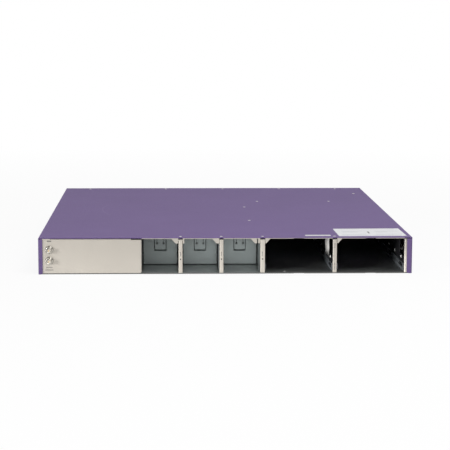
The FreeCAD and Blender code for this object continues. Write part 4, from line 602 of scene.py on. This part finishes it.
def label_paper(name, white):
    """Pale label stock with a slight fibre tone and satin gloss."""
    material, tree, shader, place = new_shader(name, Specular_IOR_Level=0.2)
    colours = varied(tree, clouds(tree, place, scale=400.0, detail=4.0), white, low=0.97, high=1.02)
    gloss = spread(tree, noise(tree, place, scale=120.0), low=0.45, high=0.6)
    connect(tree, shader, Base_Color=colours, Roughness=gloss)
    bump(tree, shader, noise(tree, place, scale=3000.0), strength=0.05)
    return material


def ink(name, colour):
    """Thin printed ink, slightly uneven."""
    material, tree, shader, place = new_shader(name, Roughness=0.6)
    tone = clouds(tree, place, scale=900.0, detail=3.0)
    connect(tree, shader, Base_Color=varied(tree, tone, colour, low=0.85, high=1.2))
    return material


MATERIALS = {
    "violet_paint": violet_paint(),
    "plated_steel": plated("plated_steel", PLATE_COLOUR, roughness=0.40),
    "zinc_steel": galvanised("zinc_steel", (0.302, 0.334, 0.330, 1), roughness=0.42, metallic=0.70),
    "bay_floor": rolled_floor("bay_floor", (0.420, 0.442, 0.434, 1), edge_shade_colour=(0.105, 0.105, 0.100, 1),
                              roughness=0.31, metallic=0.80),
    "spring_steel": spring("spring_steel", (0.98, 0.95, 0.90, 1), lower_shade_colour=(0.06, 0.06, 0.06, 1)),
    "screw_steel": metal("screw_steel", (0.63, 0.61, 0.58, 1), roughness=0.40, metallic=0.60),
    # Dark brown painted shade in the jacks' threads, corners and gaps
    "coax_metal": shaded_in_crevices("coax_metal", (0.66, 0.63, 0.57, 1), crevice_shade=(0.045, 0.032, 0.020, 1),
                            roughness=0.24, reach=2.2 * MM),
    "contact_gold": metal("contact_gold", (0.80, 0.52, 0.16, 1), roughness=0.25, variation=0.06),
    "white_insulator": moulded("white_insulator", (0.60, 0.57, 0.51, 1), roughness=0.45, variation=0.04),
    "dark_lamp": moulded("dark_lamp", (0.012, 0.012, 0.014, 1), roughness=0.25, variation=0.10,
                         relief=0.04),
    "clear_lamp": moulded("clear_lamp", (0.62, 0.68, 0.66, 1), roughness=0.22, variation=0.05, relief=0.03,
                          Transmission_Weight=0.55),
    "board_green": board_green(),
    "black_plastic": moulded("black_plastic", (0.016, 0.016, 0.018, 1), roughness=0.50),
    "sink_aluminium": metal("sink_aluminium", (0.56, 0.57, 0.58, 1), roughness=0.36, variation=0.06,
                            grain=(4.0, 40.0, 4.0)),
    "busbar_copper": metal("busbar_copper", (0.60, 0.30, 0.17, 1), roughness=0.34, variation=0.10),
    "cage_metal": metal("cage_metal", (0.60, 0.58, 0.54, 1), roughness=0.32, grain=(3.0, 10.0, 3.0),
                        metallic=0.95),
}

# Nodes whose material differs from that of their slot, some with their own painted light and shade
# The posts' plating has painted shade behind its outer face, under the cover's lip and on its left bends
POST_PLATING = plated("post_plating", PLATE_COLOUR, roughness=0.55, inside=POST_INSIDE_SHADE, tones=post_plating_with_shade)
SUPPLY_WALL = supply_wall("supply_wall", PLATE_COLOUR)
OWN_MATERIALS = {
    # The blank plate's plating has dark painted shade behind its outer face
    "rear_blank_panel": plated("blank_plating", shade(PLATE_COLOUR, factor=0.99), roughness=0.42,
                               inside=PLATE_INSIDE_SHADE),
    "fan_divider_left": POST_PLATING,
    "fan_divider_right": POST_PLATING,
    # The first supply wall's plating is made brighter, as painted light
    "bay_divider": supply_wall("first_supply_wall", shade(PLATE_COLOUR, factor=1.12)),
    "psu_divider": SUPPLY_WALL,
    "psu_front_wall": SUPPLY_WALL,
    # The last supply wall's plating has its own painted shade: lighter at its foot, darker at its top, its
    # bends shaded the other way round
    "psu_right_wall": supply_wall("last_supply_wall", PLATE_COLOUR, foot=1.26, top=0.72, bend=-0.10),
    "psu_guide_rails": moulded("guide_plastic", (0.095, 0.104, 0.110, 1), roughness=0.36, variation=0.10,
                               relief=0.08),
    "bay_rivets": rivet_heads("rivet_plating", (0.92, 0.91, 0.88, 1)),
}

# Materials of the scene's own pieces
PAPER = label_paper("label_paper", (0.630, 0.636, 0.650, 1))
STRIP_PAPER = label_paper("strip_paper", (0.560, 0.570, 0.555, 1))
NUT_PLATING = metal("nut_plating", (0.92, 0.90, 0.86, 1), roughness=0.40, variation=0.04, metallic=0.10)
PALE_INK = ink("pale_ink", (0.42, 0.43, 0.46, 1))
GREY_INK = ink("grey_ink", (0.20, 0.20, 0.21, 1))
DARK_INK = ink("dark_ink", (0.10, 0.095, 0.09, 1))


def dress_nodes():
    """Gives every solid its own material or that of its slot."""
    for name, node in NODES.items():
        material = OWN_MATERIALS.get(name) or MATERIALS[SLOT_OF_NODE[name]]
        node.data.materials.clear()
        node.data.materials.append(material)


# Helpers for meshes

def islands(name):
    """Lowest and highest corner of each separate solid in a node, sorted from left to right and up."""
    mesh = NODES[name].data
    root = list(range(len(mesh.vertices)))

    def find(i):
        while root[i] != i:
            root[i] = root[root[i]]
            i = root[i]
        return i

    places = {}
    for i, vertex in enumerate(mesh.vertices):
        key = tuple(round(c, WELD_DIGITS) for c in vertex.co)
        root[find(i)] = find(places.setdefault(key, i))
    for edge in mesh.edges:
        root[find(edge.vertices[0])] = find(edge.vertices[1])
    groups = {}
    for i, vertex in enumerate(mesh.vertices):
        groups.setdefault(find(i), []).append(vertex.co)
    boxes = []
    for points in groups.values():
        low = Vector([min(p[axis] for p in points) for axis in range(3)])
        high = Vector([max(p[axis] for p in points) for axis in range(3)])
        boxes.append((low, high))
    return sorted(boxes, key=lambda b: (round(b[0].x, SORT_DIGITS), round(b[0].z, SORT_DIGITS), b[0].y))


def make_piece(name, builder, material, replaced=()):
    """New object from a mesh; it rides on the chassis and may stand for nodes."""
    bmesh.ops.recalc_face_normals(builder, faces=builder.faces)
    mesh = bpy.data.meshes.new(name)
    builder.to_mesh(mesh)
    builder.free()
    piece = bpy.data.objects.new(name, mesh)
    bpy.context.scene.collection.objects.link(piece)
    mesh.materials.append(material)
    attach(piece, "chassis")
    if replaced:
        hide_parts(*replaced)


def angles(count):
    """Angles of the points on a circle."""
    return [2 * math.pi * i / count for i in range(count)]


def ring(builder, points):
    """Vertices at the points of a closed ring."""
    return [builder.verts.new(p) for p in points]


def bridge(builder, first, second):
    """Side faces between two rings of the same count."""
    count = len(first)
    for i in range(count):
        j = (i + 1) % count
        builder.faces.new((first[i], first[j], second[j], second[i]))


def capped(builder, rings):
    """Closed form through a row of rings, with a face at each end."""
    for first, second in zip(rings, rings[1:]):
        bridge(builder, first, second)
    builder.faces.new(rings[0])
    builder.faces.new(rings[-1])


def looped(builder, rings):
    """Closed form through a row of rings whose last joins the first, round a hole."""
    for first, second in zip(rings, rings[1:] + rings[:1]):
        bridge(builder, first, second)


def bar(builder, low, high):
    """Small box between two corners."""
    size = Vector(high) - Vector(low)
    middle = (Vector(high) + Vector(low)) / 2
    matrix = Matrix.Translation(middle) @ Matrix.Diagonal((*size, 1))
    bmesh.ops.create_cube(builder, size=1.0, matrix=matrix)


def leaf(builder, x, width, sheet, path):
    """Thin bent strip that follows a path of y and z points."""
    left, right = x - width / 2, x + width / 2
    rings = []
    for y, z in path:
        top = z + sheet
        rings.append(ring(builder, [(left, y, z), (right, y, z), (right, y, top), (left, y, top)]))
    capped(builder, rings)


# Screws

def cross_points(centre, radius, z, scale):
    """Twelve corners of a cross recess, seen from above."""
    reach = CROSS_REACH * radius * scale
    half = CROSS_HALF_WIDTH * radius * scale
    arm = [(reach, -half), (reach, half), (half, half)]
    points = []
    for turn in range(4):
        c, s = math.cos(turn * math.pi / 2), math.sin(turn * math.pi / 2)
        points += [(centre.x + x * c - y * s, centre.y + x * s + y * c, z) for x, y in arm]
    return points


def screw(builder, low, high):
    """Raised countersunk screw with a cross recess, in the place of its plain solid."""
    centre = (low + high) / 2
    radius = (high.x - low.x) / 2

    def circle(r, z):
        return ring(builder, [(centre.x + r * math.cos(a), centre.y + r * math.sin(a), z)
                              for a in angles(HEAD_SEGMENTS)])

    crown = high.z + HEAD_RISE
    top = circle(HEAD_TOP_SHARE * radius, crown)
    rim = circle(radius, high.z)
    neck = circle(SHANK_RADIUS, high.z - HEAD_DEPTH)
    foot = circle(SHANK_RADIUS, low.z)
    for first, second in ((top, rim), (rim, neck), (neck, foot)):
        bridge(builder, first, second)
    builder.faces.new(foot)
    mouth = ring(builder, cross_points(centre, radius, crown, 1.0))
    floor = ring(builder, cross_points(centre, radius, crown - CROSS_DEPTH, CROSS_TAPER))
    bridge(builder, mouth, floor)
    builder.faces.new(floor)
    edges = [builder.edges.get((loop[i], loop[i - 1])) for loop in (top, mouth) for i in range(len(loop))]
    bmesh.ops.triangle_fill(builder, edges=edges, use_beauty=True)


def cover_screws():
    """Three rows of screws in the cover."""
    for row in ("rear", "middle", "front"):
        node = "cover_screws_" + row
        builder = bmesh.new()
        for low, high in islands(node):
            screw(builder, low, high)
        make_piece(node + "_detail", builder, MATERIALS["screw_steel"], (node,))


# Labels and plain marks

def rounded_sheet(builder, x_span, y_span, z, corner, turn=0.0):
    """Thin label with round corners that lies on the cover, turned by a few degrees about its middle."""
    (left, right), (near, far) = x_span, y_span
    centres = ((right - corner, far - corner), (left + corner, far - corner),
               (left + corner, near + corner), (right - corner, near + corner))
    outline = []
    for quarter, (x, y) in enumerate(centres):
        for step in range(LABEL_STEPS + 1):
            a = (quarter + step / LABEL_STEPS) * math.pi / 2
            outline.append((x + corner * math.cos(a), y + corner * math.sin(a)))
    middle = Matrix.Translation(((left + right) / 2, (near + far) / 2, z))
    about = middle @ Matrix.Rotation(math.radians(turn), 4, "Z") @ middle.inverted()
    capped(builder, [ring(builder, [about @ Vector((x, y, height)) for x, y in outline])
                     for height in (z, z + LABEL_SHEET)])


def cover_labels():
    """Two white labels on the cover, the larger with rows of plain pale bars."""
    top = CAD_HIGH.z
    builder = bmesh.new()
    rounded_sheet(builder, LABEL_X, LABEL_Y, top, LABEL_CORNER, LABEL_TURN)
    make_piece("cover_label", builder, PAPER)
    builder = bmesh.new()
    rounded_sheet(builder, STRIP_X, STRIP_Y, top, LABEL_CORNER / 2)
    make_piece("cover_strip_label", builder, STRIP_PAPER)

    builder = bmesh.new()
    z = top + LABEL_SHEET
    for y, start, end in BARS:
        bar(builder, (start * MM, y * MM - BAR_HALF, z), (end * MM, y * MM + BAR_HALF, z + INK_RISE))
    make_piece("cover_label_bars", builder, PALE_INK)
    builder = bmesh.new()
    (x0, y0), (x1, y1) = DARK_BAR
    bar(builder, (x0 * MM, y0 * MM, z), (x1 * MM, y1 * MM, z + INK_RISE))
    make_piece("cover_label_dark_bar", builder, GREY_INK)


def face_tick(builder, x, z_low, z_high, width):
    """Short mark on the face of the service side."""
    bar(builder, (x - width / 2, FACE_Y - INK_RISE, z_low), (x + width / 2, FACE_Y, z_high))


def plain_marks():
    """Plain printed ticks beside the jacks and on the posts."""
    builder = bmesh.new()
    lamp_low, lamp_high = islands("post_lamps")[0]
    width = POST_TICK_SHARE * (lamp_high.x - lamp_low.x)
    for name in POSTS_WITH_TICKS:
        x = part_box(name)[0].x + POST_TICK_INSET
        for z in POST_TICKS:
            face_tick(builder, x, z * MM, (z + TICK_HEIGHT) * MM, width)
    low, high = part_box("psu_divider")
    x = (low.x + high.x) / 2
    for z in DIVIDER_TICKS:
        face_tick(builder, x, z * MM, (z + TICK_HEIGHT) * MM, DIVIDER_TICK_WIDTH)
    low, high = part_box("coax_jack_lower")
    x = (low.x + high.x) / 2
    for z, count, half, width in JACK_TICKS:
        for i in range(-count, count + 1):
            face_tick(builder, x + i * JACK_TICK_PITCH, (z - half) * MM, (z + half) * MM, width * MM)
    make_piece("plain_marks", builder, DARK_INK)


# Coax jacks

def threaded_radius(along, turn):
    """Radius on the fine helical thread of a jack."""
    phase = (along / THREAD_PITCH - turn) % 1.0
    return JACK_TIP_RADIUS - THREAD_DEPTH * abs(2 * phase - 1)


def coax_jack(node):
    """Jack with a real thread, a rounded mouth and a collar, in the space of its plain solid."""
    low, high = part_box(node)
    ring_low, ring_high = islands("coax_insulators")[0]
    collar = (high.x - low.x) / 2
    bore = (ring_high.x - ring_low.x) / 2
    centre = (low + high) / 2
    root = JACK_TIP_RADIUS - THREAD_DEPTH
    builder = bmesh.new()

    def circle(radius, y, thread=0.0):
        points = []
        for i, a in enumerate(angles(JACK_SEGMENTS)):
            r = radius + thread * (threaded_radius(y - low.y, i / JACK_SEGMENTS) - radius)
            points.append((centre.x + r * math.cos(a), y, centre.z + r * math.sin(a)))
        return ring(builder, points)

    start = low.y + JACK_EDGE
    rings = [circle(bore, low.y + JACK_BORE_DEPTH), circle(bore, start), circle(bore + JACK_EDGE, low.y),
             circle(root - JACK_EDGE / 2, low.y), circle(root, start)]
    length = JACK_TIP_LENGTH - 2 * JACK_EDGE
    steps = round(length / THREAD_PITCH * THREAD_STEPS)
    for step in range(1, steps + 1):
        y = start + step * length / steps
        rings.append(circle(root, y, min(1.0, (y - start) / THREAD_PITCH)))
    tip_end = low.y + JACK_TIP_LENGTH
    collar_start = FACE_Y + PLATE_SHEET
    collar_end = collar_start + COLLAR_LENGTH
    rings += [circle(root, tip_end - JACK_EDGE / 2), circle(JACK_BARREL_RADIUS, tip_end),
              circle(JACK_BARREL_RADIUS, collar_start), circle(collar, collar_start),
              circle(collar, collar_end), circle(JACK_BARREL_RADIUS, collar_end),
              circle(JACK_BARREL_RADIUS, high.y)]
    capped(builder, rings)
    make_piece(node + "_threaded", builder, MATERIALS["coax_metal"], (node,))


def coax_nut(builder, low, high):
    """Hexagon nut with chamfered outer corners, in the place of its plain solid."""
    centre = (low + high) / 2
    flat = (high.z - low.z) / 2
    length = high.y - low.y
    hole = JACK_BARREL_RADIUS + NUT_BORE_GAP
    rim = NUT_RIM_SHARE * flat

    def loop(radius_at, drop_at):
        points = []
        for a in angles(NUT_SEGMENTS):
            r = radius_at(a)
            points.append((centre.x + r * math.cos(a), low.y + drop_at(r), centre.z + r * math.sin(a)))
        return ring(builder, points)

    def hexagon(a):
        return flat / math.cos(a % (math.pi / 3) - math.pi / 6)

    looped(builder, [loop(lambda a: hole, lambda r: 0.0), loop(lambda a: rim, lambda r: 0.0),
                     loop(hexagon, lambda r: (r - rim) * NUT_CHAMFER_SLOPE),
                     loop(hexagon, lambda r: length), loop(lambda a: hole, lambda r: length)])


def coax_nuts():
    """The nuts of both jacks."""
    builder = bmesh.new()
    for low, high in islands("coax_nuts"):
        coax_nut(builder, low, high)
    make_piece("coax_nuts_chamfered", builder, MATERIALS["coax_metal"], ("coax_nuts",))


# Nuts and contacts

def clinch_nut(builder, wall_x, inward, y, z):
    """Round nut with chamfered edges that stands on the inside of a wall."""

    def circle(radius, rise):
        return ring(builder, [(wall_x + inward * rise, y + radius * math.cos(a), z + radius * math.sin(a))
                              for a in angles(CLINCH_SEGMENTS)])

    edge = CLINCH_HEIGHT - CLINCH_CHAMFER
    looped(builder, [circle(CLINCH_BORE, 0.0), circle(CLINCH_RADIUS, 0.0), circle(CLINCH_RADIUS, edge),
                     circle(CLINCH_RADIUS - CLINCH_CHAMFER, CLINCH_HEIGHT),
                     circle(CLINCH_BORE + CLINCH_CHAMFER, CLINCH_HEIGHT), circle(CLINCH_BORE, edge)])


def clinch_nuts():
    """Clinch nuts on both walls of the tray, one behind each bracket hole."""
    low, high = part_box("chassis_tray")
    builder = bmesh.new()
    for wall_x, inward in ((low.x + TRAY_SHEET, 1), (high.x - TRAY_SHEET, -1)):
        for y, z in NUT_PLACES:
            clinch_nut(builder, wall_x, inward, y * MM, z * MM)
    make_piece("bracket_clinch_nuts", builder, NUT_PLATING)


def contact_row(builder, middle_x, count, pitch, width, sheet, path):
    """Row of equal contacts, centred on one place."""
    for i in range(count):
        leaf(builder, middle_x + (i - (count - 1) / 2) * pitch, width, sheet, path)


def socket_contacts():
    """Sprung contacts in the network jack, and the tongue and contacts of the serial socket."""
    low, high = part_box("management_jack")
    centre = (low + high) / 2
    builder = bmesh.new()
    path = [(high.y + y * MM, low.z + z * MM) for y, z in JACK_CONTACT_PATH]
    contact_row(builder, centre.x, JACK_CONTACTS, JACK_CONTACT_PITCH, JACK_CONTACT_WIDTH,
                JACK_CONTACT_SHEET, path)
    make_piece("management_jack_contacts", builder, MATERIALS["contact_gold"])

    low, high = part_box("console_port")
    centre = (low + high) / 2
    builder = bmesh.new()
    path = [(low.y + TONGUE_BACK, centre.z + TONGUE_RISE), (high.y - TONGUE_BEND, centre.z + TONGUE_RISE),
            (high.y - TONGUE_TIP, centre.z + TONGUE_TIP_RISE)]
    leaf(builder, centre.x, TONGUE_WIDTH, TONGUE_SHEET, path)
    make_piece("console_port_tongue", builder, MATERIALS["black_plastic"])
    builder = bmesh.new()
    contact_z = centre.z + CONSOLE_CONTACT_RISE
    path = [(low.y + CONSOLE_CONTACT_BACK, contact_z), (high.y - CONSOLE_CONTACT_TIP, contact_z)]
    contact_row(builder, centre.x, CONSOLE_CONTACTS, CONSOLE_CONTACT_PITCH, CONSOLE_CONTACT_WIDTH,
                CONSOLE_CONTACT_SHEET, path)
    make_piece("console_port_contacts", builder, MATERIALS["contact_gold"])


# Stage

def white_to_eye(tree):
    """1 for rays from the eye, reflections and clear materials, and 0 for the rays that light a surface."""
    path = add(tree, "LightPath")
    seen = math_node(tree, "MAXIMUM", path.outputs["Is Camera Ray"], path.outputs["Is Glossy Ray"])
    return math_node(tree, "MAXIMUM", seen, path.outputs["Is Transmission Ray"])


def make_world():
    """Even light from all round; what is seen of it is white at the horizon and greyer overhead."""
    world = bpy.data.worlds.new("studio")
    bpy.context.scene.world = world
    world.use_nodes = True
    tree = world.node_tree
    tree.nodes.clear()
    height = axes_of(tree, add(tree, "TexCoord").outputs["Generated"])["Z"]
    fade = ranged(tree, height, SKY_FADE_HEIGHT, (1.0, ZENITH_STRENGTH))
    lit = add(tree, "Background", {"Color": WHITE, "Strength": SKY_STRENGTH})
    seen = add(tree, "Background", {"Color": WHITE, "Strength": fade})
    mixed = add(tree, "MixShader", {0: white_to_eye(tree), 1: lit.outputs[0], 2: seen.outputs[0]})
    add(tree, "OutputWorld", {"Surface": mixed.outputs[0]})


def floor_material():
    """Matt pale floor that takes shadows near the object and looks white far from it."""
    material = bpy.data.materials.new("floor")
    material.use_nodes = True
    tree = material.node_tree
    tree.nodes.clear()
    matt = add(tree, "BsdfDiffuse", {"Color": FLOOR_COLOUR})
    white = add(tree, "Emission", {"Color": WHITE, "Strength": 1.0})
    place = add(tree, "TexCoord").outputs["Object"]
    away = add(tree, "VectorMath", {0: place}, operation="LENGTH").outputs["Value"]
    share = ranged(tree, away, FLOOR_WHITE_REACH, (FLOOR_WHITE_NEAR, 1.0))
    share = product(tree, white_to_eye(tree), share)
    mixed = add(tree, "MixShader", {0: share, 1: matt.outputs[0], 2: white.outputs[0]})
    add(tree, "OutputMaterial", {"Surface": mixed.outputs[0]})
    return material


def make_floor():
    """Large square floor, just under the object."""
    builder = bmesh.new()
    half = FLOOR_SIZE / 2
    corners = [(-half, -half, 0), (half, -half, 0), (half, half, 0), (-half, half, 0)]
    builder.faces.new(ring(builder, corners))
    mesh = bpy.data.meshes.new("floor")
    builder.to_mesh(mesh)
    builder.free()
    mesh.materials.append(floor_material())
    floor = bpy.data.objects.new("floor", mesh)
    floor.location.z = CAD_LOW.z - FLOOR_GAP
    bpy.context.scene.collection.objects.link(floor)


def make_lamp(name, place, size, power, mirrored):
    """Soft rectangular lamp that looks at the middle of the object and may show in reflections."""
    data = bpy.data.lights.new(name, "AREA")
    data.shape = "RECTANGLE"
    data.size, data.size_y = size
    data.energy = power
    lamp = bpy.data.objects.new(name, data)
    lamp.location = place
    lamp.visible_glossy = mirrored
    aim = (CAD_LOW + CAD_HIGH) / 2 - Vector(place)
    lamp.rotation_euler = aim.to_track_quat("-Z", "Y").to_euler()
    bpy.context.scene.collection.objects.link(lamp)


def make_camera():
    """Camera at the photograph's viewing angle."""
    data = bpy.data.cameras.new("camera")
    data.lens = CAMERA_LENS
    data.sensor_width = CAMERA_SENSOR
    data.clip_start, data.clip_end = CAMERA_CLIP
    camera = bpy.data.objects.new("camera", data)
    camera.location = CAMERA_PLACE
    level = Matrix.Rotation(math.radians(90.0), 4, "X")
    yaw = Matrix.Rotation(math.radians(-CAMERA_YAW), 4, "Z")
    pitch = Matrix.Rotation(math.radians(-CAMERA_PITCH), 4, "X")
    roll = Matrix.Rotation(math.radians(CAMERA_ROLL), 4, "Z")
    camera.rotation_euler = (yaw @ pitch @ level @ roll).to_euler()
    bpy.context.scene.collection.objects.link(camera)
    bpy.context.scene.camera = camera


dress_nodes()
cover_screws()
cover_labels()
plain_marks()
for jack_node in ("coax_jack_lower", "coax_jack_upper"):
    coax_jack(jack_node)
coax_nuts()
clinch_nuts()
socket_contacts()
make_world()
make_floor()
for lamp in LAMPS:
    make_lamp(*lamp)
make_camera()
bpy.context.scene.view_settings.view_transform = "Standard"
